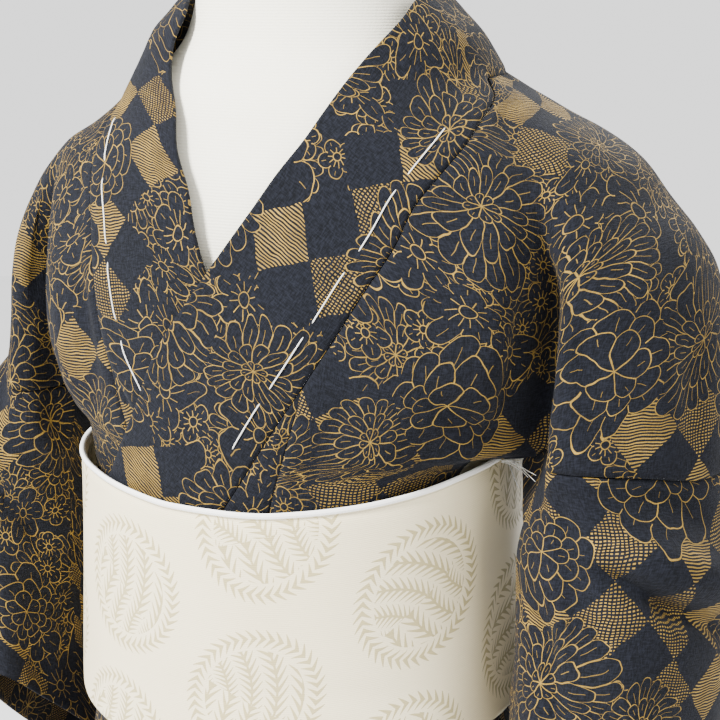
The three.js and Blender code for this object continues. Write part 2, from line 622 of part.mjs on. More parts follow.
for (const { name, side } of SIDES) {
  addPiece(`body_${name}`, bodyPanel(side), FINISH.navyCloth);
  addPiece(`okumi_${name}`, okumiPanel(side), FINISH.navyCloth);
  addPiece(`sleeve_${name}`, sleeveBag(side), FINISH.navyCloth);
  addPiece(`waist_fold_${name}`, waistFold(side), FINISH.navyCloth);
  addPiece(`skirt_${name}`, skirtPanel(side), FINISH.navyCloth);
  addPiece(`skirt_okumi_${name}`, skirtOkumi(side), FINISH.navyCloth);
}
addPiece('collar', collarBand(), FINISH.navyCloth);
addPiece('obi', obiBand(), FINISH.obiCloth);
addPiece('form_torso', formTorso(), FINISH.formCloth);
addPiece('form_cap', neckCap(), FINISH.wood);
addPiece('stand_pole', standPole(), FINISH.steel);
addPiece('stand_base', standBase(), FINISH.wood);

export default garment;
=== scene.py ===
# %% [markdown]
# # A kimono on a dress form
#
# The packed model holds every piece of the garment at its real size, as plain cloth walls. This
# lesson dresses them: it rebuilds each piece of cloth as a finer, softly creased shell on the same
# form, draws the woven and printed patterns as procedural finishes, and lights a small studio.
# Everything below is worked out from the same few sizes that the pieces were cut by.

# %% Load the frame
import bmesh
import bpy
import numpy as np
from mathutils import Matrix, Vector


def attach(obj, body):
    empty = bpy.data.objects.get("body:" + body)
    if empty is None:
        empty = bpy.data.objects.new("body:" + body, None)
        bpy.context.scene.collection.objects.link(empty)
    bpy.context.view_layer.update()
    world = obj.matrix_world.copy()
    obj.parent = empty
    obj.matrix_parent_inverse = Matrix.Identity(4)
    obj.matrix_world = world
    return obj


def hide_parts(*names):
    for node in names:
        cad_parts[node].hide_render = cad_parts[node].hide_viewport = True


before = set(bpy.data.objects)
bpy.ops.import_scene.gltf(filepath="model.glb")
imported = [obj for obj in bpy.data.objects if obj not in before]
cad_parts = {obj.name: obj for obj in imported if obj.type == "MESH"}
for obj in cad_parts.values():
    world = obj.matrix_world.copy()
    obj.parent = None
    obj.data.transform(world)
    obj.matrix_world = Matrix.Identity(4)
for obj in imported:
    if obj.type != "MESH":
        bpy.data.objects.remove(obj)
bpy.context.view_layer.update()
print("nodes in the frame:", len(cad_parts))

# %% [markdown]
# ## Camera
#
# A camera is a place, a point that it looks at and a lens. The view is set first, because the
# larger creases further on are placed by where they are seen.

# %% Camera
MM = 0.001
PHOTO = 720                       # the picture is this many pixels wide and high
CAMERA_PLACE = np.array([434.8, -788.6, 1385.0])
CAMERA_AIM = np.array([26.2, 13.35, 1171.0])
FOCAL_PIXELS = 1530.0

forward = (CAMERA_AIM - CAMERA_PLACE) / np.linalg.norm(CAMERA_AIM - CAMERA_PLACE)
to_right = np.cross(forward, [0, 0, 1])
to_right /= np.linalg.norm(to_right)
to_top = np.cross(to_right, forward)

camera = bpy.data.objects.new("camera", bpy.data.cameras.new("camera"))
camera.data.sensor_width = 36.0
camera.data.lens = FOCAL_PIXELS / PHOTO * camera.data.sensor_width
camera.data.clip_end = 50.0
camera.location = Vector(CAMERA_PLACE * MM)
camera.rotation_euler = Vector(forward).to_track_quat("-Z", "Y").to_euler()
bpy.context.scene.collection.objects.link(camera)
bpy.context.scene.camera = camera


def to_picture(points):
    """Picture coordinates of points given in millimetres."""
    away = points - CAMERA_PLACE
    depth = away @ forward
    across = PHOTO / 2 + FOCAL_PIXELS * (away @ to_right) / depth
    down = PHOTO / 2 - FOCAL_PIXELS * (away @ to_top) / depth
    return np.stack([across, down], axis=-1)


print("lens:", round(camera.data.lens, 1), "mm")

# %% [markdown]
# ## The form that the cloth takes
#
# A kimono is cut from straight strips, so its worn shape comes from what is under it. Two stacks
# of oval sections describe that shape: the hull round the shoulders and upper arms, and the
# trunk below. The cloth lies on the hull, and is drawn in to the trunk beside the arms. Tables in
# millimetres, read straight between their rows, keep this the same form as the packed pieces.


# %% Section tables
def table(columns, *rows):
    """Named columns from rows of numbers."""
    return dict(zip(columns.split(), np.array(rows, float).T))


def look_up(rows, key, at, column):
    """One column of a table at a given key, straight between its rows."""
    order = np.argsort(rows[key])
    return np.interp(at, rows[key][order], rows[column][order])


# Left, right, front and back are distances from the middle. Square is the power of the oval: 2 is
# an ellipse, and more is squarer. Set_back is how far the sides lie behind the middle.
HULL = table(
    "z left right front back square set_back",
    (1400, 66, 66, 52, 92, 2.1, 0),
    (1388, 74, 74, 56, 96, 2.1, 0),
    (1365, 97, 97, 68, 102, 2.1, 2),
    (1342, 111, 110, 82, 107, 2.15, 8),
    (1325, 140, 122, 93, 110, 2.2, 15),
    (1310, 171, 145, 101, 112, 2.25, 20),
    (1295, 192, 174, 107, 114, 2.3, 22),
    (1278, 205, 186, 111, 115, 2.35, 22),
    (1255, 227, 198, 115, 116, 2.4, 22),
    (1230, 240, 204, 118, 116, 2.5, 22),
    (1195, 246, 208, 119, 114, 2.5, 22),
    (1150, 250, 216, 119, 112, 2.5, 22),
    (1110, 252, 222, 119, 111, 2.5, 22),
)
TRUNK = table(
    "z left right front back square",
    (1300, 178, 178, 107, 113, 2.4),
    (1250, 168, 168, 117, 112, 2.3),
    (1200, 156, 158, 118, 109, 2.3),
    (1150, 134, 141, 118.5, 108, 2.2),
    (1121, 119, 130, 118.5, 108, 2.2),
    (1062, 120, 132, 118, 108, 2.2),
    (960, 127, 138, 117, 112, 2.2),
    (880, 134, 142, 118, 120, 2.2),
    (700, 148, 150, 118, 122, 2.2),
    (350, 148, 148, 111, 112, 2.2),
    (0, 138, 138, 104, 104, 2.2),
)
# The fold between trunk and upper arm: its place, how far it has formed, its half width, and how
# far the cloth beside it has come in to the trunk
ARM_FOLD = table(
    "z left right formed spread drawn_in",
    (1300, 162, 146, 0, 9, 0),
    (1270, 165, 147, 0.45, 9, 0),
    (1240, 168, 148, 0.85, 10, 0),
    (1205, 167, 150, 1, 11, 0),
    (1180, 165, 152, 1, 12, 0.25),
    (1160, 163, 153, 1, 12, 0.6),
    (1135, 162, 154, 1, 12, 1),
)
FOLD_DEPTH = 44.0                 # how far off the arm's middle the bottom of the fold lies
FOLD_TOP_Z = 1300.0               # above this height no fold has formed
FOLD_BETWEEN = np.radians((4, 80))
HALVINGS = 24                     # steps of the search for the fold's angle
DRAWN_IN_OVER = 24.0              # width beside the fold over which the cloth comes in
TRUNK_BELOW_Z = 1133.0
print("heights in the tables:", [len(rows["z"]) for rows in (HULL, TRUNK, ARM_FOLD)])


# %% Points on the form
def side_name(side):
    return "left" if side > 0 else "right"


def smooth(value, low, high):
    """A soft step from 0 at low to 1 at high."""
    share = np.clip((value - low) / (high - low), 0, 1)
    return share * share * (3 - 2 * share)


def bell(value):
    """A soft bump: 1 at 0, next to nothing beyond 2 on either side."""
    return np.exp(-(value**2))


def oval_radius(angle, half_width, depth, square):
    across = np.abs(np.cos(angle) / half_width) ** square
    along = np.abs(np.sin(angle) / depth) ** square
    return (across + along) ** (-1 / square)


def section_radius(rows, side, angle, z):
    over_left = side * np.cos(angle) >= 0
    half_width = np.where(over_left, look_up(rows, "z", z, "left"), look_up(rows, "z", z, "right"))
    in_front = np.sin(angle) < 0
    depth = np.where(in_front, look_up(rows, "z", z, "front"), look_up(rows, "z", z, "back"))
    return oval_radius(angle, half_width, depth, look_up(rows, "z", z, "square"))


def trunk_point(side, angle, z, out=0.0):
    angle, z = np.broadcast_arrays(np.asarray(angle, float), np.asarray(z, float))
    radius = section_radius(TRUNK, side, angle, z) + out
    return np.stack([side * radius * np.cos(angle), radius * np.sin(angle), z], axis=-1)


def fold_angle(side, face, z):
    """Angle of the arm fold at a height, in front (-1) or behind (+1)."""
    low, high = FOLD_BETWEEN
    for _ in range(HALVINGS):
        middle = (low + high) / 2
        x = section_radius(HULL, side, face * middle, z) * np.cos(middle)
        if x > look_up(ARM_FOLD, "z", z, side_name(side)):
            low = middle
        else:
            high = middle
    return face * low


def worn_point(side, angle, z, out=0.0):
    """A point of the worn cloth. Out moves it off that surface."""
    angle, z = np.broadcast_arrays(np.asarray(angle, float), np.asarray(z, float))
    radius = section_radius(HULL, side, angle, z)
    set_back = look_up(HULL, "z", z, "set_back")
    hull_x = side * radius * np.cos(angle)
    hull_y = radius * np.sin(angle) + set_back * np.cos(angle) ** 2
    inside = look_up(ARM_FOLD, "z", z, side_name(side)) - side * hull_x
    drawn_in = look_up(ARM_FOLD, "z", z, "drawn_in") * smooth(inside, 0, DRAWN_IN_OVER)
    trunk = trunk_point(side, angle, z)
    x = hull_x + (trunk[..., 0] - hull_x) * drawn_in
    y = hull_y + (trunk[..., 1] - hull_y) * drawn_in
    face = np.where(np.sin(angle) < 0, -1, 1)
    groove = look_up(ARM_FOLD, "z", z, "formed") * bell(inside / look_up(ARM_FOLD, "z", z, "spread"))
    y = y + (face * FOLD_DEPTH + set_back / 2 - y) * groove
    on_hull = np.stack([x + side * out * np.cos(angle), y + out * np.sin(angle), z], axis=-1)
    return np.where((z <= TRUNK_BELOW_Z)[..., None], trunk_point(side, angle, z, out), on_hull)


chest = trunk_point(1, np.linspace(0, 2 * np.pi, 90), 1200.0)
print("chest girth:", round(float(np.linalg.norm(np.diff(chest, axis=0), axis=-1).sum())), "mm")

# %% [markdown]
# ## From a grid of points to a piece of cloth
#
# Each piece starts as a coarse grid of points, rows down the cloth and columns across it. A smooth
# curve through every row and column gives a fine grid that still passes through the coarse
# points. Distances measured along the fine grid are the piece's cut coordinates: the pattern is
# drawn in them, so it follows the cloth round the body instead of being projected onto it.


# %% Smooth grids
TINY = 1e-9                       # added to lengths, so that nothing is divided by zero


def refine(points, steps, axis=0):
    """Smooth curves through the points along one axis, with new points between neighbours."""
    points = np.moveaxis(points, axis, 0)
    length = np.linalg.norm(np.diff(points, axis=0), axis=-1, keepdims=True) + TINY
    slope = np.diff(points, axis=0) / length
    tangent = np.empty_like(points)
    weighted = slope[:-1] * length[1:] + slope[1:] * length[:-1]
    tangent[1:-1] = weighted / (length[:-1] + length[1:])
    tangent[0], tangent[-1] = slope[0], slope[-1]
    share = (np.arange(steps) / steps).reshape(1, steps, 1, 1)
    start, end = points[:-1, None], points[1:, None]
    leave, arrive = (tangent[:-1] * length)[:, None], (tangent[1:] * length)[:, None]
    curve = start * (2 * share**3 - 3 * share**2 + 1) + end * (3 * share**2 - 2 * share**3)
    curve = curve + leave * (share**3 - 2 * share**2 + share) + arrive * (share**3 - share**2)
    curve = curve.reshape(-1, *points.shape[1:])
    return np.moveaxis(np.concatenate([curve, points[-1:]]), 0, axis)


def arc_length(grid, axis):
    """Distance along one axis of a grid, from its first point."""
    steps = np.linalg.norm(np.diff(grid, axis=axis), axis=-1)
    start = np.zeros_like(np.take(steps, [0], axis=axis))
    return np.concatenate([start, np.cumsum(steps, axis=axis)], axis=axis)


def outward(grid, flip):
    """Unit normals of a grid of points."""
    normal = np.cross(np.gradient(grid, axis=0), np.gradient(grid, axis=1))
    normal /= np.linalg.norm(normal, axis=-1, keepdims=True) + TINY
    return -normal if flip else normal


five_points = np.linspace([[0.0, 0.0, 0.0]], [[40.0, 0.0, 0.0]], 5)
print("5 points with 3 steps between neighbours make", len(refine(five_points, 3)))

# %% [markdown]
# ## Creases
#
# Cloth this firm lies in a few broad, soft creases. Each is one line along which the surface sinks
# or swells, fading at its ends. They could be sculpted by hand, but a table of lines can be read and
# changed. Those that show are placed by where they are seen, in picture coordinates. Similar ones
# on the hidden sides are placed by their distance across and height.

# %% Crease tables
def creases(*rows):
    """Each crease's two ends, its half width and its depth. A ridge has a depth above 0."""
    return table("x0 y0 x1 y1 half_width depth", *rows)


SEEN_CREASES = {
    "sleeve_left": creases(
        (588, 566, 700, 626, 13, -12.0),
        (664, 610, 780, 644, 15, -12.0),
        (612, 548, 760, 592, 22, 8.0),
        (556, 500, 584, 640, 15, -6.0),
        (610, 655, 660, 790, 24, 6.0),
        (536, 600, 560, 760, 12, -6.0),
        (640, 490, 720, 530, 16, -3.0),
    ),
    "sleeve_right": creases(
        (-30, 470, 60, 548, 17, -9.0),
        (-20, 560, 50, 640, 16, 5.0),
        (20, 400, 60, 470, 14, 3.5),
        (30, 590, 44, 720, 13, -4.0),
    ),
    "body_left": creases(
        (546, 190, 498, 112, 20, -4.5),
        (560, 200, 640, 330, 28, 3.5),
        (582, 320, 600, 470, 18, -4.5),
        (640, 250, 672, 460, 18, 4.0),
        (700, 330, 690, 460, 14, -3.5),
        (505, 320, 470, 440, 17, 3.5),
        (530, 290, 503, 420, 11, -3.5),
        (420, 396, 505, 442, 13, -2.8),
        (370, 474, 480, 456, 11, 2.2),
        (350, 400, 300, 500, 14, -1.8),
    ),
    "body_right": creases(
        (56, 285, 78, 430, 9, 3.4),
        (76, 250, 94, 410, 8, -3.4),
        (40, 180, 34, 320, 10, -3.2),
        (96, 130, 72, 240, 12, -2.0),
    ),
    "collar": creases(
        (480, 60, 420, 150, 14, -1.2),
        (300, 300, 250, 390, 16, 1.2),
        (180, 330, 200, 470, 14, -1.4),
    ),
    "obi": creases(
        (92, 470, 88, 700, 12, -1.4),
        (496, 500, 505, 700, 12, -1.8),
        (470, 495, 440, 560, 14, -1.0),
        (150, 690, 470, 700, 14, -0.8),
    ),
}
# The same kinds of crease in millimetres: behind by x and z, beside by y and z
BEHIND_CREASES = {
    "body": creases(
        (60, 1300, 96, 1180, 14, -2.4),
        (112, 1250, 120, 1140, 12, 3.0),
        (196, 1270, 186, 1160, 16, -4.0),
        (40, 1180, 90, 1130, 12, -2.0),
        (224, 1240, 216, 1160, 12, 2.6),
    ),
    "sleeve": creases(
        (168, 1090, 240, 1040, 13, -6.5),
        (160, 1000, 214, 1070, 15, 3.5),
        (190, 960, 186, 840, 14, -5.0),
        (222, 980, 216, 850, 12, 3.5),
    ),
    "waist_fold": creases(
        (30, 960, 44, 905, 12, -2.0),
        (84, 955, 78, 905, 14, 1.8),
    ),
}
BESIDE_CREASES = {
    "body": creases(
        (-10, 1290, -30, 1170, 15, -3.4),
        (40, 1280, 62, 1160, 16, -3.4),
        (14, 1250, 12, 1160, 14, 2.8),
    ),
    "sleeve": creases(
        (-50, 1110, 40, 1050, 15, -6.5),
        (60, 1120, 90, 1010, 16, -5.0),
        (0, 1010, 10, 880, 16, -5.0),
        (-40, 1020, -44, 930, 14, 3.0),
        (60, 980, 66, 840, 16, 3.5),
    ),
    "waist_fold": creases(
        (-20, 960, -26, 905, 12, -2.0),
        (50, 950, 44, 905, 12, -2.2),
    ),
}
CREASE_ENDS = (-0.15, 0.3)        # shares of its length over which a crease fades in, and out
EDGE_ON = (0.02, 0.3)             # cosines over which cloth turns from edge-on to facing
print("creases that are seen:", sum(len(rows["depth"]) for rows in SEEN_CREASES.values()))


# %% Depth of the creases
def crease_depth(points, rows):
    """Sum of the creases at points, in the same plane as the creases' own ends."""
    total = np.zeros(points.shape[:-1])
    for x0, y0, x1, y1, half_width, depth in zip(*rows.values()):
        start = np.array([x0, y0])
        along = np.array([x1 - x0, y1 - y0])
        share = ((points - start) @ along) / (along @ along)
        nearest = start + np.clip(share, 0, 1)[..., None] * along
        aside = np.linalg.norm(points - nearest, axis=-1) / half_width
        total += depth * bell(aside) * smooth(share, *CREASE_ENDS) * smooth(1 - share, *CREASE_ENDS)
    return total


def facing_camera(grid, normals):
    """1 where the cloth is turned to the camera, 0 where it is turned away."""
    to_camera = CAMERA_PLACE - grid
    to_camera /= np.linalg.norm(to_camera, axis=-1, keepdims=True)
    return smooth(np.sum(to_camera * normals, axis=-1), *EDGE_ON)


def seen_depth(name, grid, normals):
    """Depth of the visible creases, only where the cloth faces the camera."""
    if name not in SEEN_CREASES:
        return 0.0
    return facing_camera(grid, normals) * crease_depth(to_picture(grid), SEEN_CREASES[name])


def hidden_depth(name, grid, normals):
    """Depth of the creases behind and beside, only where the photographed side doesn't show."""
    kind = name.replace("_left", "").replace("_right", "")
    if kind not in BEHIND_CREASES:
        return 0.0
    behind = crease_depth(np.abs(grid)[..., [0, 2]], BEHIND_CREASES[kind])
    beside = crease_depth(grid[..., [1, 2]], BESIDE_CREASES[kind])
    faces_back = smooth(normals[..., 1], 0.1, 0.5)
    faces_aside = smooth(np.abs(normals[..., 0]), 0.4, 0.8)
    return (1 - facing_camera(grid, normals)) * (faces_back * behind + faces_aside * beside)


WAVES = 7
WAVE_LENGTHS = (34, 110)


def ripple(across, down, seed, size):
    """Very low, uneven waves, as firm cloth shows where nothing pulls it."""
    waves = np.random.default_rng(seed)
    total = np.zeros(np.broadcast(across, down).shape)
    for _ in range(WAVES):
        length = waves.uniform(*WAVE_LENGTHS)
        heading = waves.uniform(0, np.pi)
        phase = waves.uniform(0, 2 * np.pi)
        along = across * np.cos(heading) + 0.5 * down * np.sin(heading)
        total += np.sin(2 * np.pi * along / length + phase) * length / WAVE_LENGTHS[1]
    return size * total / 3


print("waves along 200 mm:", ripple(np.linspace(0, 200, 5), 0.0, seed=1, size=0.5).round(2), "mm")

# %% [markdown]
# ## One shell of cloth
#
# The shell is a grid mesh. Its thickness could be modelled as a second, inner grid, but a Solidify
# modifier keeps the wall even wherever the grid is shaped. Sewn edges sink a little, because the
# seam allowance holds them down, and that dip draws each seam as a soft line.

# %% Relief of a piece
DIP_WIDTH = 5.0
FLAT_BORDER = 14.0                # creases and waves fade out over this distance from an edge


def seam_dip(across, down, edges):
    """How far the cloth sinks near its sewn edges: any of start, end, top and bottom."""
    distance = {
        "start": across - across[:, :1],
        "end": across[:, -1:] - across,
        "top": down - down[:1],
        "bottom": down[-1:] - down,
    }
    dip = np.zeros(across.shape)
    for edge, depth in edges.items():
        dip = np.maximum(dip, depth * (1 - smooth(distance[edge], 0, DIP_WIDTH)))
    return dip


def relief(name, grid, normals, across, down, closed, seed, wave):
    """How far creases and waves move the cloth off its smooth form."""
    depth = seen_depth(name, grid, normals) + hidden_depth(name, grid, normals)
    depth = depth + ripple(across, down, seed, wave)
    border = np.minimum(down - down[:1], down[-1:] - down)
    if not closed:
        border = np.minimum(border, np.minimum(across - across[:, :1], across[:, -1:] - across))
    return depth * smooth(border, 0, FLAT_BORDER)


print("a seam's dip is", 2 * DIP_WIDTH, "mm wide")


# %% Meshes
pieces = {}


def new_object(name, points, faces):
    """A smooth mesh object, from points in millimetres."""
    mesh = bpy.data.meshes.new(name)
    mesh.from_pydata((np.asarray(points) * MM).tolist(), [], faces)
    mesh.shade_smooth()
    made = bpy.data.objects.new(name, mesh)
    bpy.context.scene.collection.objects.link(made)
    return made


def grid_faces(grid, steps, keep, flip):
    """The faces between a grid's rows and columns, and the column that each face starts at."""
    rows, columns = grid.shape[:2]
    i, j = np.meshgrid(np.arange(rows - 1), np.arange(columns - 1), indexing="ij")
    if keep is not None:
        kept = keep(i // steps[0], j // steps[1])
        i, j = i[kept], j[kept]
    corner = i.ravel() * columns + j.ravel()
    faces = np.stack([corner, corner + columns, corner + columns + 1, corner + 1], axis=-1)
    return (faces[:, ::-1] if flip else faces), j.ravel()


def close_tube(mesh):
    """Join the first and the last column of a tube, which lie on each other."""
    work = bmesh.new()
    work.from_mesh(mesh)
    bmesh.ops.remove_doubles(work, verts=work.verts, dist=1e-6)
    work.to_mesh(mesh)
    work.free()


print("faces in a grid of 3 by 4 points:", len(grid_faces(np.zeros((3, 4, 3)), (1, 1), None, False)[0]))


# %% Cloth builder
def cloth(name, coarse, steps, thick, cut_zones=((0, 0),), keep=None, closed=False, flip=False,
          edges=None, seed=0, wave=0.5, offset=(0.0, 0.0), extra=None):
    """A piece of cloth from its coarse grid, in millimetres.

    Each cut zone gives its first column, and the column that distances across are measured from.
    """
    if closed:
        coarse = np.concatenate([coarse, coarse[:, :1]], axis=1)
    grid = refine(refine(coarse, steps[0], axis=0), steps[1], axis=1)
    across, down = arc_length(grid, 1), arc_length(grid, 0)
    normals = outward(grid, flip)
    depth = relief(name, grid, normals, across, down, closed, seed, wave)
    depth = depth - seam_dip(across, down, edges or {})
    if extra is not None:
        depth = depth + extra(grid, across, down)
    if closed:
        depth[:, -1] = depth[:, 0]
        normals[:, 0] += normals[:, -1]
        normals[:, 0] /= np.linalg.norm(normals[:, 0], axis=-1, keepdims=True)
        normals[:, -1] = normals[:, 0]
    shaped = grid + normals * depth[..., None]

    faces, first_column = grid_faces(grid, steps, keep, flip)
    used, local = np.unique(faces, return_inverse=True)
    local = local.reshape(-1, 4)
    piece = new_object("cloth_" + name, shaped.reshape(-1, 3)[used], local.tolist())
    cut_of_corner = np.empty((*local.shape, 2))
    for first, origin in cut_zones:
        from_origin = across - across[:, origin * steps[1] if origin >= 0 else origin][:, None]
        cut = np.stack([from_origin, -down], axis=-1) * MM + np.array(offset)
        in_zone = first_column >= first * steps[1]
        cut_of_corner[in_zone] = cut.reshape(-1, 2)[used][local[in_zone]]
    piece.data.uv_layers.new(name="cut").data.foreach_set("uv", cut_of_corner.ravel())
    if closed:
        close_tube(piece.data)
    wall = piece.modifiers.new("wall", "SOLIDIFY")
    wall.thickness = thick * MM
    wall.offset = -1
    pieces[name] = piece
    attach(piece, "root")
    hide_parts(name)
    return shaped, normals, cut


print("relief fades out over the last", FLAT_BORDER, "mm of a piece")

# %% [markdown]
# ## Upper body
#
# The body of a kimono is two lengths of cloth, joined down the back and running over the shoulders
# to the front. They could be sculpted from one tube, but two grids keep the seams where a tailor
# puts them. Worn, the spare width tucks in between trunk and arm, so the columns of the grid crowd
# round that fold. The left front lies over the right one and is lifted by its layers.

# %% Upper body
CLOTH = 1.4
SEAM_GAP = 0.34
OVERLAP_LIFT = 4.6                # how far the left front stands off, over the right one
NECK_SEAM_Z = 1342.0
WAIST_Z = 1062.0
ARMHOLE_Z = 1146.0
SEAM_RISE = {"left": -12.0, "right": 46.0}   # how far the sleeve's seam rises towards the side
SEAM_RISES_OVER = (0.2, 0.9)      # shares of the way from the arm fold to the side
UPPER_ROWS = [1342, 1333, 1323, 1312, 1298, 1281, 1261, 1240, 1215, 1188, 1168, 1146, 1132, 1112, 1062]
ARMHOLE_ROW = UPPER_ROWS.index(ARMHOLE_Z)
COLUMNS_BETWEEN = [4, 3, 3, 3, 3, 3, 3, 4]
FOLD_FRONT, FOLD_BACK = 7, 19
FOLD_REACH = np.radians(6)        # the columns beside the arm fold lie this far from it
LEAST_STEP = np.radians(3)        # the key columns are at least this far apart
TUCK_ANGLE = np.radians(20)       # below the armhole the fold's columns lie this far from the side
COLLARS_CROSS_Z = 1290.0          # the left front starts to lift below this height
LIFT_GROWS_OVER = 50.0
LIFT_ANGLES = (36, 48)            # degrees towards the front over which the lift starts
SEAM_RADIUS = {"front": 120, "back": 108, "neck": 100, "skirt": 110}
HALF_GAP = {seam: SEAM_GAP / 2 / radius for seam, radius in SEAM_RADIUS.items()}   # as an angle
CENTRE_BACK = np.pi / 2 - HALF_GAP["back"]
PANEL_EDGE = {
    "left": table(
        "z angle", (1342, -2), (1333, -12), (1323, -22.5), (1312, -30.2), (1298, -36.8), (1281, -42.5),
        (1261, -46.8), (1240, -52), (1215, -57.5), (1188, -63.8), (1158, -67), (1121, -71.5), (1062, -78),
        (880, -84), (0, -80),
    ),
    "right": table(
        "z angle", (1342, -4), (1333, -20), (1323, -30), (1312, -37.5), (1298, -44), (1281, -47.5),
        (1261, -50.7), (1240, -53.2), (1215, -55.5), (1188, -58.5), (1158, -61.5), (1121, -66), (1062, -74),
        (880, -84), (0, -80),
    ),
}
print("rows and columns of a body panel:", len(UPPER_ROWS), sum(COLUMNS_BETWEEN) + 1)


# %% Columns of the upper body
def edge_angle(rows, z):
    return np.radians(look_up(rows, "z", z, "angle"))


def lift_at(side, angle, z):
    """The left front's lift: whole below the crossing of the collars, none at the shoulders."""
    if side < 0:
        return np.zeros(np.broadcast(angle, z).shape)
    below = smooth(COLLARS_CROSS_Z - z, 0, LIFT_GROWS_OVER)
    return OVERLAP_LIFT * below * smooth(-np.degrees(angle), *LIFT_ANGLES)


def column_angles(side, z):
    """Angles of one row's columns, from the panel's front edge round the side to centre back."""
    front = edge_angle(PANEL_EDGE[side_name(side)], z)
    tucked = z < ARMHOLE_Z
    fold_front = -TUCK_ANGLE if tucked else fold_angle(side, -1, min(z, FOLD_TOP_Z))
    fold_back = TUCK_ANGLE if tucked else fold_angle(side, 1, min(z, FOLD_TOP_Z))
    keys = [front + HALF_GAP["front"]]
    for wanted in (fold_front - FOLD_REACH, fold_front, fold_front + FOLD_REACH, 0):
        keys.append(max(wanted, keys[-1] + LEAST_STEP))
    keys += [fold_back - FOLD_REACH, fold_back, fold_back + FOLD_REACH, CENTRE_BACK]
    angles = [keys[0]]
    for k, count in enumerate(COLUMNS_BETWEEN):
        angles.extend(np.linspace(keys[k], keys[k + 1], count + 1)[1:])
    return np.array(angles)


def sleeve_seam_z(side, angle):
    in_front, behind = (fold_angle(side, face, ARMHOLE_Z) for face in (-1, 1))
    fold = np.where(angle < 0, in_front, behind)
    beyond = np.maximum(0, 1 - np.abs(angle / fold))
    return ARMHOLE_Z + SEAM_RISE[side_name(side)] * smooth(beyond, *SEAM_RISES_OVER)


print("centre back at", round(float(np.degrees(CENTRE_BACK)), 2), "degrees")


# %% Upper body panels
def upper_grid(side):
    seam_z = sleeve_seam_z(side, column_angles(side, ARMHOLE_Z))
    rows = []
    for i, row_z in enumerate(UPPER_ROWS):
        angles = column_angles(side, row_z)
        share = (NECK_SEAM_Z - row_z) / (NECK_SEAM_Z - ARMHOLE_Z)
        z = np.full(len(angles), float(row_z))
        if i <= ARMHOLE_ROW:
            z = NECK_SEAM_Z - share * (NECK_SEAM_Z - seam_z)
        rows.append(worn_point(side, angles, z, lift_at(side, angles, z)))
    return np.array(rows)


def body_cells(i, j):
    return (i < ARMHOLE_ROW) | (j < FOLD_FRONT) | (j >= FOLD_BACK)


for side in (1, -1):
    cloth(
        "body_" + side_name(side), upper_grid(side), (6, 5), CLOTH, keep=body_cells,
        cut_zones=((0, FOLD_FRONT), (FOLD_BACK, -1)), flip=side < 0,
        edges={"start": 1.0, "end": 0.7}, seed=11 + side, offset=(0.3 * side, 0.12 * side),
    )
print("body panels:", len(pieces))

# %% [markdown]
# ## Overlap panels
#
# The okumi is the narrow strip that widens each front so that it can cross over. Above the obi only
# its point shows, between the body's seam and the collar. It could be drawn onto the body panel, but
# it is cut as a strip of its own, with the pattern shifted at its seam. So it is a small grid of its
# own, whose rows lie at the body's heights to keep the seam closed.

# %% Overlap panels above the obi
OKUMI_POINT_Z = 1188              # above this height the collar is sewn to the body itself
OKUMI_ROWS = [1186, 1168, 1146, 1132, 1112, 1062]
COLLAR_LOW_SEAM = {
    "left": table("z angle", (1188, -63.8), (1158, -71.8), (1121, -82.3), (1062, -101)),
    "right": table("z angle", (1188, -58.5), (1158, -66), (1121, -76), (1062, -95)),
}


def okumi_grid(side):
    name = side_name(side)
    rows = []
    for z in OKUMI_ROWS:
        body_seam = edge_angle(PANEL_EDGE[name], z) - HALF_GAP["front"]
        collar_seam = edge_angle(COLLAR_LOW_SEAM[name], z) + HALF_GAP["front"]
        angles = np.linspace(collar_seam, body_seam, 4)
        rows.append(worn_point(side, angles, float(z), lift_at(side, angles, z)))
    return np.array(rows)


for side in (1, -1):
    cloth(
        "okumi_" + side_name(side), okumi_grid(side), (6, 5), CLOTH, flip=side < 0,
        edges={"start": 0.8, "end": 1.0}, seed=21 + side, wave=0.1, offset=(0.9 * side, 0.4),
    )
print("rows of an overlap panel:", len(OKUMI_ROWS))

# %% [markdown]
# ## Collar
#
# The collar is one long band folded double. It runs from the left front's edge round the neck to
# the right front's, and stands away from the nape. It could be swept along a curve, but would then
# leave the body or cut into it. So its grid has a station for each height of its seam: seam and
# body share their rows and meet with only the seam's own gap.

# %% Collar
COLLAR_CLOTH = 1.9
COLLAR_PROUD = 0.4                # how far off the worn surface the collar lies at its edges
COLLAR_ROUND = 0.8                # how much more in its middle
NECK_CURVE_Z = 1320.0             # above this height the collar's seam runs across the cloth
COLLAR_FREE_EDGE = {
    "left": table(
        "seam_z z angle", (1342, 1386, -6), (1333, 1372, -26.5), (1323, 1357, -40), (1312, 1343, -49.5),
        (1298, 1327, -58), (1261, 1296, -70.5), (1228, 1268, -80), (1199, 1240, -89.2),
        (1158, 1198, -103.8), (1121, 1161, -111), (1062, 1104, -129),
    ),
    "right": table(
        "seam_z z angle", (1342, 1387, -20), (1333, 1377, -44), (1323, 1360, -48.5), (1312, 1348, -54.5),
        (1298, 1325, -69), (1261, 1285, -82.5), (1228, 1252, -88), (1199, 1228, -94), (1158, 1195, -104),
        (1121, 1160, -111), (1062, 1102, -129),
    ),
}
COLLAR_BACK_EDGE = table("angle z", (-6, 1386), (25, 1389), (58, 1388), (90, 1387))


def collar_station(side, seam_angle, seam_z, free_angle, free_z):
    share = np.linspace(0, 1, 5)
    angle = seam_angle + (free_angle - seam_angle) * share
    z = seam_z + (free_z - seam_z) * share
    proud = lift_at(side, angle, z) + COLLAR_PROUD + COLLAR_ROUND * np.sin(np.pi * share)
    return worn_point(side, angle, z, proud)


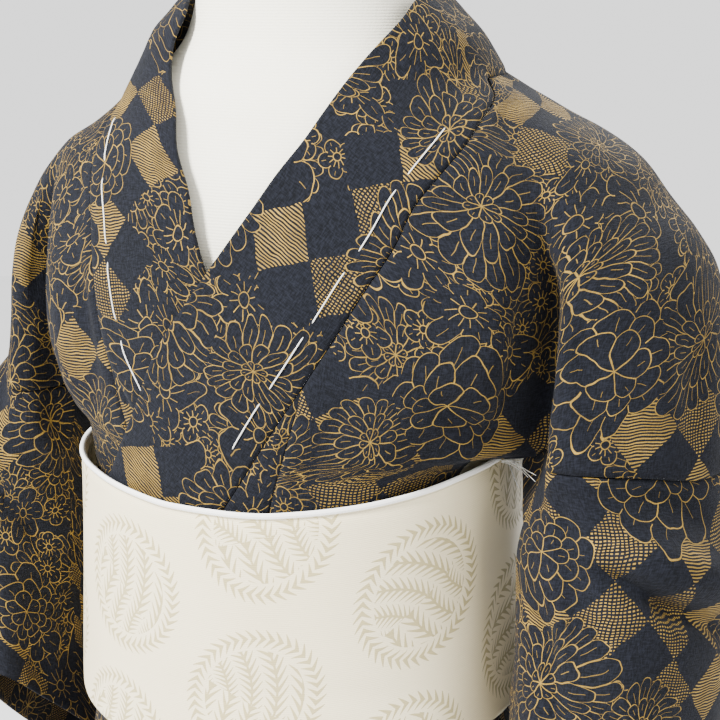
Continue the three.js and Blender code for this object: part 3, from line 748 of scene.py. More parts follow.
def collar_half(side):
    name = side_name(side)
    free_edge = COLLAR_FREE_EDGE[name]
    stations = []
    for z in reversed(UPPER_ROWS):
        seam_rows = COLLAR_LOW_SEAM[name] if z < OKUMI_POINT_Z else PANEL_EDGE[name]
        seam_angle = edge_angle(seam_rows, z) - HALF_GAP["neck"]
        seam_z = z + (SEAM_GAP if z > NECK_CURVE_Z else 0)
        free_z = look_up(free_edge, "seam_z", z, "z")
        free_angle = np.radians(look_up(free_edge, "seam_z", z, "angle"))
        stations.append(collar_station(side, seam_angle, seam_z, free_angle, free_z))
    turned = np.radians(free_edge["angle"][0])
    angles = column_angles(side, NECK_SEAM_Z)
    for angle in angles[1:]:
        share = (angle - angles[0]) / (np.pi / 2 - angles[0])
        free_angle = turned + (np.pi / 2 - turned) * share
        free_z = look_up(COLLAR_BACK_EDGE, "angle", np.degrees(free_angle), "z")
        stations.append(collar_station(side, angle, NECK_SEAM_Z + SEAM_GAP, free_angle, free_z))
    return stations


collar_grid, collar_normals, _ = cloth(
    "collar", np.array(collar_half(1) + collar_half(-1)[::-1]), (4, 9), COLLAR_CLOTH,
    edges={"start": 0.9}, seed=31, wave=0.25, offset=(2.1, 0.7),
)
print("collar stations:", len(collar_grid))

# %% [markdown]
# ## Sleeves
#
# A kimono sleeve is a flat bag sewn to the body along the upper arm and open below the arm. With no
# arm in it, it hangs as a soft tube. A simulation could drop it, but here each point keeps its
# angle round the tube from the rim to the mouth, so the cloth hangs without twisting.

# %% Sleeves
# Drop is the share of the way from the rim to the mouth. Front and back are places along y.
SLEEVE = table(
    "drop outer_left outer_right front back",
    (0, 252, 222, -66, 104),
    (0.12, 256, 232, -74, 106),
    (0.3, 261, 240, -80, 110),
    (0.5, 258, 240, -82, 116),
    (0.75, 250, 236, -84, 122),
    (1, 242, 230, -86, 126),
)
SLEEVE_ROWS = [0, 0.06, 0.14, 0.24, 0.36, 0.5, 0.64, 0.82, 1]
SLEEVE_SQUARE = 2.7
SLEEVE_FOLD = 0.06                # how deep the hanging folds are, as a share of the tube
SLEEVE_FOLDS = 4
SLEEVE_FOLD_TURN = 2.2
SLEEVE_FREE_FROM = 0.24           # share of the drop from which the tube has its own shape
SLIT_POINTS = 7
SLIT_NARROWED = 0.85
SLEEVE_SEAM_GAP = 0.5
SLEEVE_INNER_X = {"left": 144.0, "right": 151.0}
SLEEVE_INNER_TOP_Z = 1136.0
MOUTH_Z = 880.0
MOUTH_SLOPE = 0.95


def sleeve_rim(side):
    """Points and angles of the ring that the sleeve hangs from, as for a left sleeve."""
    inner_x = SLEEVE_INNER_X[side_name(side)]
    outer = SLEEVE["outer_" + side_name(side)][0]
    middle_x = (inner_x + outer) / 2
    middle_y = (SLEEVE["front"][0] + SLEEVE["back"][0]) / 2
    angles = column_angles(side, ARMHOLE_Z)[FOLD_FRONT:FOLD_BACK + 1]
    rim = worn_point(side, angles, sleeve_seam_z(side, angles)) * [side, 1, 1]
    rim[:, 2] -= SLEEVE_SEAM_GAP
    along = (rim[:, 1] - middle_y) / (SLEEVE["back"][0] - middle_y)
    turn = np.arctan2(along, (rim[:, 0] - middle_x) / (outer - middle_x))
    share = np.arange(1, SLIT_POINTS + 1) / (SLIT_POINTS + 1)
    slit_y = (rim[-1, 1] + (rim[0, 1] - rim[-1, 1]) * share) * SLIT_NARROWED
    slit_x, slit_z = np.full(SLIT_POINTS, inner_x), np.full(SLIT_POINTS, SLEEVE_INNER_TOP_Z)
    slit = np.stack([slit_x, slit_y, slit_z], axis=-1)
    slit_turn = turn[-1] + (turn[0] + 2 * np.pi - turn[-1]) * share
    return np.concatenate([rim, slit]), np.concatenate([turn, slit_turn])


def sleeve_grid(side):
    top, turn = sleeve_rim(side)
    inner_x = SLEEVE_INNER_X[side_name(side)]
    rows = []
    for drop in SLEEVE_ROWS:
        outer = look_up(SLEEVE, "drop", drop, "outer_" + side_name(side))
        front = look_up(SLEEVE, "drop", drop, "front")
        back = look_up(SLEEVE, "drop", drop, "back")
        folds = 1 + drop * SLEEVE_FOLD * np.sin(SLEEVE_FOLDS * turn + SLEEVE_FOLD_TURN)
        unit = oval_radius(turn, 1, 1, SLEEVE_SQUARE) * folds
        x = (inner_x + outer) / 2 + (outer - inner_x) / 2 * unit * np.cos(turn)
        y = (front + back) / 2 + (back - front) / 2 * unit * np.sin(turn)
        blend = smooth(drop, 0, SLEEVE_FREE_FROM)
        z = top[:, 2] + (MOUTH_Z - MOUTH_SLOPE * y - top[:, 2]) * drop
        across = top[:, 0] + (x - top[:, 0]) * blend
        rows.append(np.stack([side * across, top[:, 1] + (y - top[:, 1]) * blend, z], axis=-1))
    return np.array(rows)


for side in (1, -1):
    cloth(
        "sleeve_" + side_name(side), sleeve_grid(side), (9, 7), CLOTH, closed=True, flip=side < 0,
        edges={"top": 1.0}, seed=41 + side, wave=0.8, offset=(1.3 * side, 1.1),
    )
print("sleeves hang to z", round(float(min(v.co.z for v in pieces["sleeve_left"].data.vertices)), 3))

# %% [markdown]
# ## Waist fold and skirt
#
# A kimono is cut longer than its wearer. The spare length is drawn up at the waist and falls over as
# a flat fold under the obi. Below it the skirt wraps round, the left front over the right, and
# hangs in long, shallow folds that deepen towards the hem. A cloth simulation could hang it, but is
# slow and hard to steer. Grids on the trunk's sections stay where they are put, and each layer is
# set in or out to clear the ones that it lies between.

# %% Waist fold and skirt
FOLD_ROWS = [WAIST_Z - SEAM_GAP, 1010, 962, 935, 915, 902]
FOLD_SWELL = table("z out", (1062, 0), (962, 0.5), (935, 3), (915, 4.5), (902, 2))
FOLD_EDGE = {"left": np.radians(-128), "right": np.radians(-122)}
SKIRT_ROWS = [1040, 960, 880, 780, 640, 480, 320, 160, 26]
SKIRT_INSET = {"outer": 2.4, "under": 6.0}   # how far inside the trunk's sections each layer lies
UNDER_FROM = 38                   # degrees in front of the side, where the right front is fully under
SKIRT_FRONT_EDGE = {"left": np.radians(-136), "right": np.radians(-130)}


def waist_fold_grid(side):
    rows = []
    for z in FOLD_ROWS:
        angles = np.linspace(FOLD_EDGE[side_name(side)], CENTRE_BACK, 21)
        lift = OVERLAP_LIFT * smooth(-np.degrees(angles), *LIFT_ANGLES) if side > 0 else 0
        rows.append(trunk_point(side, angles, float(z), lift + look_up(FOLD_SWELL, "z", z, "out")))
    return np.array(rows)


def skirt_inset(side, angles):
    under = smooth(-np.degrees(angles), 0, UNDER_FROM) if side < 0 else 0
    return SKIRT_INSET["outer"] + (SKIRT_INSET["under"] - SKIRT_INSET["outer"]) * under


def skirt_grid(side, okumi):
    rows = []
    for z in SKIRT_ROWS:
        seam = edge_angle(PANEL_EDGE[side_name(side)], z)
        if okumi:
            angles = np.linspace(SKIRT_FRONT_EDGE[side_name(side)], seam - HALF_GAP["skirt"], 6)
        else:
            angles = np.linspace(seam + HALF_GAP["skirt"], CENTRE_BACK, 19)
        rows.append(trunk_point(side, angles, float(z), -skirt_inset(side, angles)))
    return np.array(rows)


print("rows of the skirt:", len(SKIRT_ROWS))


# %% Hanging folds
FIRST_FOLD = {"left": 12.0, "right": 125.0}   # the right front's folds start beyond the left front
FOLD_SPACING = 40.0
FOLD_WIDTHS, FOLD_HEIGHTS, FOLD_TOPS = (9, 17), (3.0, 7.0), (560, 940)
FOLD_SWELLS_OVER = 520.0
FOLD_LEAN, LEAN_FROM_Z, LEAN_CENTRE = 0.03, 900.0, 200.0
FOLD_EDGE_FADE = 20.0


def hanging_folds(seed, first, count):
    """Long soft folds that swell downwards, for the skirt. They stand out, clear of the layer below."""
    places = np.random.default_rng(seed)
    folds = []
    for k in range(count):
        place = first + FOLD_SPACING * (k + places.uniform(0.1, 0.7))
        width, high = places.uniform(*FOLD_WIDTHS), places.uniform(*FOLD_HEIGHTS)
        folds.append((place, width, high, places.uniform(*FOLD_TOPS)))

    def depth(grid, across, down):
        total = np.zeros(across.shape)
        for place, width, high, top_z in folds:
            low = smooth(top_z - grid[..., 2], 0, FOLD_SWELLS_OVER)
            lean = FOLD_LEAN * (LEAN_FROM_Z - grid[..., 2]) * np.sign(place - LEAN_CENTRE)
            total += high * low * bell((across - place - lean) / width)
        edge = smooth(across - across[:, :1], 0, FOLD_EDGE_FADE)
        return total * edge * smooth(across[:, -1:] - across, 0, FOLD_EDGE_FADE)

    return depth


for side in (1, -1):
    name = side_name(side)
    cloth(
        "waist_fold_" + name, waist_fold_grid(side), (6, 6), CLOTH, flip=side < 0, edges={"end": 0.7},
        seed=51 + side, wave=0.5, offset=(1.7 * side, 2.0),
    )
    cloth(
        "skirt_" + name, skirt_grid(side, False), (12, 6), CLOTH, flip=side < 0,
        edges={"start": 0.8, "end": 0.7}, seed=61 + side, wave=0.5, offset=(2.3 * side, 2.6),
        extra=hanging_folds(71 + side, FIRST_FOLD[name], 8 if side > 0 else 6),
    )
    cloth(
        "skirt_okumi_" + name, skirt_grid(side, True), (12, 8), CLOTH, flip=side < 0,
        edges={"end": 0.8}, seed=81 + side, wave=0.4, offset=(2.9 * side, 3.1),
        extra=hanging_folds(91, 30, 2 if side > 0 else 0),
    )
print("cloth pieces so far:", len(pieces))

# %% [markdown]
# ## Obi
#
# The obi is folded lengthwise and wound round the waist. Its top edge is the fold, a soft roll with
# a crease under it, and it rides a little higher over the hip. Its end lies over its start at
# the back. The roll could be a tube along the edge, but it is the same cloth, so it is worked into
# the rows near the edge and needs no piece of its own.

# %% Obi
OBI_CLOTH = 3.0
OBI_HEIGHT = 156.0
OBI_TOP_Z = 1117.0
OBI_OFFSET = 9.6                  # how far outside the trunk's sections the band's face lies
OBI_START = np.radians(60)
OBI_TURN = np.radians(398)
OBI_STEPS = 56
OBI_ROWS = (0, 0.04, 0.25, 0.5, 0.75, 0.96, 1)
OBI_LAP = np.radians((325, 356))  # where the end rises to lie over the start
OBI_LAP_GAP = 1.2
# Rolls and creases along the band: distance from its edge, half width and height
TOP_ROLL, UNDER_ROLL, FOOT_ROLL = (1.8, 1.6, 0.9), (5.2, 1.5, -0.8), (0.0, 1.5, -0.6)
OBI_EDGE = table(
    "angle rise", (-180, 7), (-130, 4), (-100, -1), (-75, 0), (-50, 6), (-20, 14), (0, 16), (60, 11),
    (180, 7),
)


def obi_grid():
    turned = np.linspace(0, 1, OBI_STEPS + 1) * OBI_TURN
    angle = OBI_START + turned
    degrees = (np.degrees(angle) + 180) % 360 - 180
    top_z = OBI_TOP_Z + look_up(OBI_EDGE, "angle", degrees, "rise")
    on_top = smooth(turned, *OBI_LAP) * (OBI_CLOTH + OBI_LAP_GAP)
    rows = []
    for share in OBI_ROWS:
        z = top_z - share * OBI_HEIGHT
        row = trunk_point(1, angle, np.minimum(z, OBI_TOP_Z), OBI_OFFSET + on_top)
        row[:, 2] = z
        rows.append(row)
    return np.array(rows)


def along_edge(distance, place, half_width, height):
    return height * bell((distance - place) / half_width)


def obi_roll(grid, across, down):
    """The rolled top edge with its crease, and a softer one at the bottom."""
    top = along_edge(down, *TOP_ROLL) + along_edge(down, *UNDER_ROLL)
    return top + along_edge(down[-1:] - down, *FOOT_ROLL)


obi_grid_shaped, obi_normals, obi_cut = cloth(
    "obi", obi_grid(), (8, 5), OBI_CLOTH, seed=91, wave=0.45, extra=obi_roll,
)
print("obi length wound:", round(float(arc_length(obi_grid(), 1)[0, -1])), "mm")

# %% [markdown]
# ## Dress form and stand
#
# The form is a smooth padded body with a neck, a turned wooden cap, a steel pole and a round wooden
# base. The body could be sculpted, but a stack of ovals joined by smooth curves takes one row of
# numbers for each height. The turned pieces are profiles spun round the axis, with enough sides to
# look round.

# %% Dress form and stand
FORM = table(
    "z side front back",
    (1428, 62, 60, 66),
    (1400, 63, 59, 66),
    (1384, 66, 58, 68),
    (1362, 74, 62, 76),
    (1345, 90, 70, 88),
    (1330, 110, 80, 98),
    (1312, 131, 88, 104),
    (1295, 152, 96, 106),
    (1275, 158, 102, 106),
    (1240, 152, 108, 104),
    (1190, 134, 110, 101),
    (1121, 112, 109, 100),
    (1040, 112, 108, 99),
    (950, 119, 106, 103),
    (880, 124, 106, 108),
    (830, 128, 105, 108),
    (806, 122, 94, 97),
)
FORM_SQUARE = 2.05
FORM_TOP_Z, FORM_BOTTOM_Z = 1428.0, 806.0
BASE_RADIUS, BASE_THICK, POLE_RADIUS = 205.0, 14.0, 13.0


def tube_faces(rings, count):
    """The faces between rings of points, each ring with the same count."""
    faces = []
    for i in range(rings - 1):
        upper, lower = i * count, (i + 1) * count
        for j in range(count):
            after = (j + 1) % count
            faces.append((upper + j, lower + j, lower + after, upper + after))
    return faces


def solid_of_rings(name, rings, node):
    """A closed body from rings of points, with a fan at each end."""
    count = rings.shape[1]
    faces = tube_faces(len(rings), count)
    points = [*rings.reshape(-1, 3), rings[0].mean(axis=0), rings[-1].mean(axis=0)]
    last = (len(rings) - 1) * count
    for j in range(count):
        after = (j + 1) % count
        faces.append((len(points) - 2, j, after))
        faces.append((len(points) - 1, last + after, last + j))
    piece = new_object(name, points, faces)
    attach(piece, "root")
    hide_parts(node)
    pieces[node] = piece


def round_angles(count):
    return np.linspace(0, 2 * np.pi, count, endpoint=False)


def ring(radius, angle, z):
    """Points round the axis at one height."""
    heights = np.full(len(angle), float(z))
    return np.stack([radius * np.cos(angle), radius * np.sin(angle), heights], axis=-1)


def form_rings(count=128):
    angle = round_angles(count)
    rows = []
    for z, side, front, back in zip(*FORM.values()):
        depth = np.where(np.sin(angle) < 0, front, back)
        radius = oval_radius(angle, side, depth, FORM_SQUARE)
        rows.append(ring(radius, angle, z))
    return refine(np.array(rows), 6)


def turned_rings(profile, count=96):
    """Rings of a profile of radius and height, from the top down."""
    return np.array([ring(radius, round_angles(count), z) for radius, z in profile])


print("the form's sections:", len(FORM["z"]))


# %% Turned profiles
cap_foot = FORM_TOP_Z + SEAM_GAP
cap_profile = [
    (1, 42), (8, 41), (11, 39), (14, 34), (15, 30), (14, 26), (12, 22), (12.5, 19), (14, 17), (30, 16),
    (50, 14), (57, 12), (61, 9), (62, 6), (62, 3), (61, 1), (60, 0),
]
solid_of_rings("form_body", form_rings(), "form_torso")
solid_of_rings("turned_cap", turned_rings([(r, cap_foot + z) for r, z in cap_profile]), "form_cap")
pole_top, pole_foot = FORM_BOTTOM_Z - SEAM_GAP, BASE_THICK + SEAM_GAP
pole_heights = np.linspace(pole_top, pole_foot, 12)
solid_of_rings("round_pole", turned_rings([(POLE_RADIUS, z) for z in pole_heights]), "stand_pole")
base_profile = [
    (BASE_RADIUS - 7, BASE_THICK), (BASE_RADIUS - 4, BASE_THICK - 0.4), (BASE_RADIUS - 1.2, BASE_THICK - 2),
    (BASE_RADIUS, BASE_THICK - 5), (BASE_RADIUS, 2), (BASE_RADIUS - 1.5, 0.4), (BASE_RADIUS - 3, 0),
]
solid_of_rings("round_base", turned_rings(base_profile), "stand_base")
print("pieces:", len(pieces))

# %% [markdown]
# ## Basting threads and loose yarns
#
# A kimono leaves the maker with long white basting stitches along its collar, and they are still
# there. They could be painted into the finish, but a thin round thread that comes out of the cloth
# and goes back in casts a shadow of its own. Some loose yarns stand out at the obi's upper corner.

# %% Threads
THREAD_END = 0.45                 # a thread's radius at its ends, as a share of its full radius


def thread_path(path, radius, rise, sides=6):
    """Points and faces of a round thread along a path."""
    heading = np.gradient(path, axis=0)
    heading /= np.linalg.norm(heading, axis=-1, keepdims=True)
    across = np.cross(heading, rise)
    across /= np.linalg.norm(across, axis=-1, keepdims=True)
    over = np.cross(across, heading)
    turn = round_angles(sides)[:, None]
    around = np.cos(turn) * across[:, None] + np.sin(turn) * over[:, None]
    radii = np.full(len(path), radius)
    radii[[0, -1]] *= THREAD_END
    points = path[:, None] + around * radii[:, None, None]
    faces = [face[::-1] for face in tube_faces(len(path), sides)]
    faces.append(tuple(reversed(range(sides))))
    faces.append(tuple(range((len(path) - 1) * sides, len(path) * sides)))
    return points.reshape(-1, 3), faces


def join_threads(name, threads):
    """One mesh from many threads."""
    faces, base = [], 0
    for points, thread_faces in threads:
        faces.extend(tuple(base + k for k in face) for face in thread_faces)
        base += len(points)
    piece = new_object(name, np.concatenate([points for points, _ in threads]), faces)
    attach(piece, "root")
    return piece


print("faces round a thread of 14 points:", len(tube_faces(14, 6)))


# %% Basting stitches
STITCH, STITCH_GAP = 39.0, 8.0
STITCH_VARIES, GAP_VARIES = (0.85, 1.1), (0.8, 1.3)
STITCH_POINTS = 14
BASTING_SHARE = 0.17              # how far across the collar the stitches lie, from its seam
BASTED_FROM_Z, BASTED_TO_Z, BASTED_FRONT_Y = 1140, 1312, -20
THREAD_RADIUS = 0.38
SUNK = 0.5                        # how far a stitch's ends go into the cloth, and its middle stands out


def collar_stitches():
    """Long stitches along both fronts of the collar, from the shoulder to the obi."""
    column = round(BASTING_SHARE * (collar_grid.shape[1] - 1))
    line = collar_grid[:, column]
    lift = collar_normals[:, column]
    along = arc_length(line, 0)
    places = np.random.default_rng(5)
    threads = []
    at = 0.0
    while at < along[-1] - STITCH:
        end = at + STITCH * places.uniform(*STITCH_VARIES)
        steps = np.linspace(at, end, STITCH_POINTS)
        path = np.stack([np.interp(steps, along, line[:, k]) for k in range(3)], axis=-1)
        normal = np.stack([np.interp(steps, along, lift[:, k]) for k in range(3)], axis=-1)
        share = (steps - at) / (end - at)
        height = SUNK * (2 * np.minimum(1, 9 * share * (1 - share)) - 1)
        path = path + normal * height[:, None]
        _, y, z = path.mean(axis=0)
        if y < BASTED_FRONT_Y and BASTED_FROM_Z < z < BASTED_TO_Z:
            threads.append(thread_path(path, THREAD_RADIUS, normal.mean(axis=0)))
        at = end + STITCH_GAP * places.uniform(*GAP_VARIES)
    return threads


stitches = collar_stitches()
basting = join_threads("basting_stitches", stitches)
print("basting stitches:", len(stitches))

# %% Loose yarns
SEEN_YARNS = np.array([503.0, 460.0])
YARN_RADIUS = 0.22
YARN_LENGTHS = (20, 52)
YARN_RIGHT, YARN_UP, YARN_TO_CAMERA = (0.3, 1.1), (-0.1, 0.4), (1.0, 1.9)   # parts of the heading
YARN_SAG, YARN_CURLS, YARN_CURL = (0.1, 0.4), (3, 7), (0.5, 1.6)


def place_of(seen, shape, normals, values):
    """What a piece's values are at the point that is seen at a place in the picture."""
    aside = np.linalg.norm(to_picture(shape) - seen, axis=-1)
    aside[facing_camera(shape, normals) < 0.5] = np.inf
    return values[np.unravel_index(np.argmin(aside), aside.shape)]


def loose_yarns(count=18):
    places = np.random.default_rng(17)
    corner = place_of(SEEN_YARNS, obi_grid_shaped, obi_normals, obi_grid_shaped)
    threads = []
    for _ in range(count):
        root = corner + places.uniform(-1, 1, 3) * [3, 3, 1]
        length = places.uniform(*YARN_LENGTHS)
        heading = to_right * places.uniform(*YARN_RIGHT) + to_top * places.uniform(*YARN_UP)
        heading -= forward * places.uniform(*YARN_TO_CAMERA)
        heading /= np.linalg.norm(heading)
        share = np.linspace(0, 1, 14)[:, None]
        sag = np.array([0.0, 0.0, -1.0]) * length * places.uniform(*YARN_SAG)
        curl = np.sin(share * places.uniform(*YARN_CURLS)) * places.uniform(*YARN_CURL)
        path = root + heading * length * share + sag * share**2 + curl * np.array([0.3, 0.5, 0.4])
        threads.append(thread_path(path, YARN_RADIUS, np.array([0.1, 0.2, 1.0]), sides=5))
    return threads


yarns = join_threads("loose_obi_yarns", loose_yarns())
print("points in the yarns:", len(yarns.data.vertices))

# %% [markdown]
# ## Shader arithmetic
#
# A procedural pattern is mostly arithmetic. Wrapping a shader socket in a small class lets that
# arithmetic be written as plain expressions: adding two values adds one Math node. Every other
# node comes from one method that takes its type, its settings and its sockets.

# %% Shader values
FULL_TURN = 2 * np.pi


def maths(operation, swapped=False):
    """A method that adds one Math node. Swapped puts the value itself last."""
    def method(self, *others):
        numbers = (*others, self) if swapped else (self, *others)
        return self.finish.node("ShaderNodeMath", {"operation": operation}, dict(enumerate(numbers)))

    return method


class Value:
    """A number that varies over a surface."""

    def __init__(self, finish, socket):
        self.finish = finish
        self.socket = socket

    __add__ = __radd__ = maths("ADD")
    __sub__ = maths("SUBTRACT")
    __rsub__ = maths("SUBTRACT", swapped=True)
    __mul__ = __rmul__ = maths("MULTIPLY")
    __truediv__ = maths("DIVIDE")
    __pow__ = maths("POWER")
    __mod__ = maths("FLOORED_MODULO")
    __abs__ = maths("ABSOLUTE")
    __lt__ = maths("LESS_THAN")
    __gt__ = maths("GREATER_THAN")
    larger = maths("MAXIMUM")
    smaller = maths("MINIMUM")
    sine = maths("SINE")
    cosine = maths("COSINE")
    floor = maths("FLOOR")
    part = maths("FRACT")

    def soft_step(self, low, high):
        settings = {"interpolation_type": "SMOOTHSTEP"}
        sockets = {"Value": self, "From Min": low, "From Max": high}
        return self.finish.node("ShaderNodeMapRange", settings, sockets)

    def line(self, half_width, soft=0.35):
        """1 where the value is near 0, as a drawn line."""
        return 1 - abs(self).soft_step(half_width * (1 - soft), half_width * (1 + soft))


print("what a value can do:", sum(callable(member) for member in vars(Value).values()), "things")


# %% Finishes
class Finish:
    """A material and its nodes."""

    def __init__(self, name):
        self.material = bpy.data.materials.new(name)
        self.material.use_nodes = True
        self.tree = self.material.node_tree
        self.tree.nodes.clear()

    def node(self, kind, settings=None, sockets=None, output=0):
        made = self.tree.nodes.new(kind)
        for key, value in (settings or {}).items():
            setattr(made, key, value)
        for key, value in (sockets or {}).items():
            if isinstance(value, Value):
                self.tree.links.new(value.socket, made.inputs[key])
            else:
                made.inputs[key].default_value = value
        if isinstance(output, tuple):
            return [Value(self, made.outputs[k]) for k in output]
        return made if output is None else Value(self, made.outputs[output])

    def cut_coordinates(self):
        cut = self.node("ShaderNodeUVMap", {"uv_map": "cut"})
        return self.node("ShaderNodeSeparateXYZ", None, {0: cut}, output=(0, 1))

    def vector(self, x, y, z=0.0):
        return self.node("ShaderNodeCombineXYZ", None, {0: x, 1: y, 2: z})

    def noise(self, place, scale=1.0, detail=2.0):
        """Soft noise at a place, which is given by two or three coordinates."""
        sockets = {"Vector": self.vector(*place), "Scale": scale, "Detail": detail}
        return self.node("ShaderNodeTexNoise", None, sockets)

    def chance(self, x, y):
        """A random number that is the same over each whole step of x and y."""
        settings = {"noise_dimensions": "2D"}
        return self.node("ShaderNodeTexWhiteNoise", settings, {"Vector": self.vector(x, y)})

    def polar(self, x, y):
        """Distance from the origin, and the share of a full turn round it."""
        radius = (x * x + y * y) ** 0.5
        return radius, self.node("ShaderNodeMath", {"operation": "ARCTAN2"}, {0: y, 1: x}) / FULL_TURN

    def mix(self, factor, first, second):
        """A colour between two colours."""
        return self.node("ShaderNodeMix", {"data_type": "RGBA"}, {0: factor, 6: first, 7: second}, output=2)

    def finish_with(self, colour, roughness, metallic=0.0, height=None, depth=0.0, constants=None):
        sockets = {"Base Color": colour, "Roughness": roughness, "Metallic": metallic}
        if height is not None:
            bump = {"Height": height, "Strength": 1.0, "Distance": depth}
            sockets["Normal"] = self.node("ShaderNodeBump", None, bump)
        sockets.update(constants or {})
        shader = self.node("ShaderNodeBsdfPrincipled", None, sockets)
        self.node("ShaderNodeOutputMaterial", None, {"Surface": shader}, output=None)
        return self.material


def linear(red, green, blue):
    """A colour for a shader, from its values out of 255 as seen on a screen."""
    seen = np.array([red, green, blue]) / 255
    light = np.where(seen <= 0.04045, seen / 12.92, ((seen + 0.055) / 1.055) ** 2.4)
    return (*[float(channel) for channel in light], 1.0)


print("middle grey in a shader:", round(linear(128, 128, 128)[0], 3))

# %% [markdown]
# ## Kimono cloth
#
# The cloth is dark navy with fine gold outlines of chrysanthemums and smaller blossoms, packed so
# that they overlap, and patches of chequered squares between them. A Voronoi texture scatters
# flower centres. Round each centre, polar formulas draw petals, and every layer hides the ones
# under it, as the printer's stencils do. A picture could be used instead, but formulas stay sharp
# close by and need no file.

# %% Flowers
LINE = 0.00026                    # half width of a gold line, in metres


def scatter(finish, u, v, cell, shift, randomness):
    """Polar coordinates round scattered centres, in metres, and three random numbers for each."""
    place = finish.vector(u / cell + shift, v / cell + 1.7 * shift)
    settings = {"voronoi_dimensions": "2D", "feature": "F1"}
    sockets = {"Vector": place, "Scale": 1.0, "Randomness": randomness}
    colour, centre = finish.node("ShaderNodeTexVoronoi", settings, sockets, output=(1, 2))
    away = finish.node("ShaderNodeVectorMath", {"operation": "SUBTRACT"}, {0: place, 1: centre})
    x, y = finish.node("ShaderNodeSeparateXYZ", None, {0: away}, output=(0, 1))
    chance = finish.node("ShaderNodeSeparateColor", None, {0: colour}, output=(0, 1, 2))
    radius, turn = finish.polar(x, y)
    return radius * cell, turn + chance[0], chance


def petal_ring(radius, turn, count, reach, notch, tip=3.0, start=0.0):
    """Outline and inside of one ring of petals. Notch is the share lost between petals."""
    across = abs((turn * count).part() - 0.5) * 2
    edge = (1 - across**tip * notch) * reach
    inside = (edge - radius).soft_step(-LINE, LINE)
    outline = (radius - edge).line(LINE)
    spoke = ((1 - across) * radius * (np.pi / count)).line(LINE) * inside
    if start:
        spoke = spoke * (radius > start)
    vein = (across * radius * (np.pi / count)).line(LINE * 0.55) * (radius < edge - 0.16 * reach)
    vein = vein * (radius > 0.62 * reach) * 0.7
    return outline.larger(spoke).larger(vein), inside


def chrysanthemum(radius, turn, reach):
    """Two rings of long petals round a small heart."""
    outer, inside = petal_ring(radius, turn, 19, reach, 0.2)
    inner, core = petal_ring(radius, turn + 0.03, 13, 0.62 * reach, 0.26)
    heart, bud = petal_ring(radius, turn + 0.05, 8, 0.24 * reach, 0.3)
    drawing = outer * (1 - core) + inner * (1 - bud) + heart
    return drawing.smaller(1.0), inside


def five_petals(radius, turn, reach):
    """An open five-petalled blossom with a ring of stamens."""
    outline, inside = petal_ring(radius, turn, 5, reach, 0.34, tip=2.2, start=0.55 * reach)
    eye = (radius - 0.2 * reach).line(LINE)
    stamens = (abs((turn * 10).part() - 0.5) * radius * (FULL_TURN / 10)).line(LINE * 0.8)
    in_band = (radius > 0.24 * reach) * (radius < 0.5 * reach)
    return outline.larger(eye).larger(stamens * in_band), inside


def ruffled_bloom(radius, turn, reach):
    """A large round bloom of nested, scalloped petals."""
    outer, inside = petal_ring(radius, turn, 10, reach, 0.15, tip=2.5, start=0.72 * reach)
    middle, within = petal_ring(radius, turn + 0.06, 8, 0.74 * reach, 0.18, tip=2.5, start=0.46 * reach)
    inner, core = petal_ring(radius, turn + 0.1, 6, 0.48 * reach, 0.25, tip=2.5)
    drawing = outer * (1 - within) + middle * (1 - core) + inner
    return drawing.smaller(1.0), inside


def over(top, top_inside, below):
    """A drawing laid over another, which it hides inside its outline."""
    return top + (1 - top_inside) * below


print("a gold line is", round(2000 * LINE, 2), "mm wide")


# %% Chequered patches
SQUARE = 0.029                    # side of a square, in metres
RULE_PITCH = 0.0017               # distance between the rules that fill it
PATCH_SHARE = 0.45
DIAGONAL = 0.7071                 # turns the squares by 45 degrees


def chequers(finish, u, v):
    """Patches of squares in turn plain, ruled and dotted. Returns gold and where patches lie."""
    column = ((u + v) * (DIAGONAL / SQUARE)).floor()
    row = ((v - u) * (DIAGONAL / SQUARE)).floor()
    odd = (column + row) % 2.0
    patch = finish.noise((column * 0.21, row * 0.21 + 3.0), detail=0.0) > 1 - PATCH_SHARE
    ruled = abs((v / RULE_PITCH).part() - 0.5).soft_step(0.24, 0.36)
    dotted = ruled * abs((u / (RULE_PITCH * 1.3)).part() - 0.5).soft_step(0.16, 0.28)
    fill = ruled + (dotted - ruled) * (finish.chance(column, row) > 0.55)
    return fill * odd, patch


print("squares of", 1000 * SQUARE, "mm")


# %% Kimono cloth finish
# Scattered flowers: spacing in metres, a shift that sets the layout, and how uneven it is
LARGE, MIDDLE = (0.084, 0.37, 0.75), (0.043, 5.13, 0.7)
SMALL, BEHIND = (0.025, 9.71, 0.8), (0.052, 2.9, 0.9)
# Their radius in metres: the least, and what chance may add
LARGE_REACH, MIDDLE_REACH = (0.029, 0.010), (0.017, 0.005)
SMALL_REACH, BEHIND_REACH = (0.0095, 0.003), 0.027
IS_BLOOM = 0.58                   # chances above this draw a ruffled bloom


def wander(finish, u, v, places, scale, reach, detail):
    """Two small distances that vary over the cloth, as a line drawn by hand wanders."""
    return [(finish.noise((u + a, v + b), scale, detail) - 0.5) * reach for a, b in places]


def reach_of(chance, least, added):
    return least + chance[1] * added


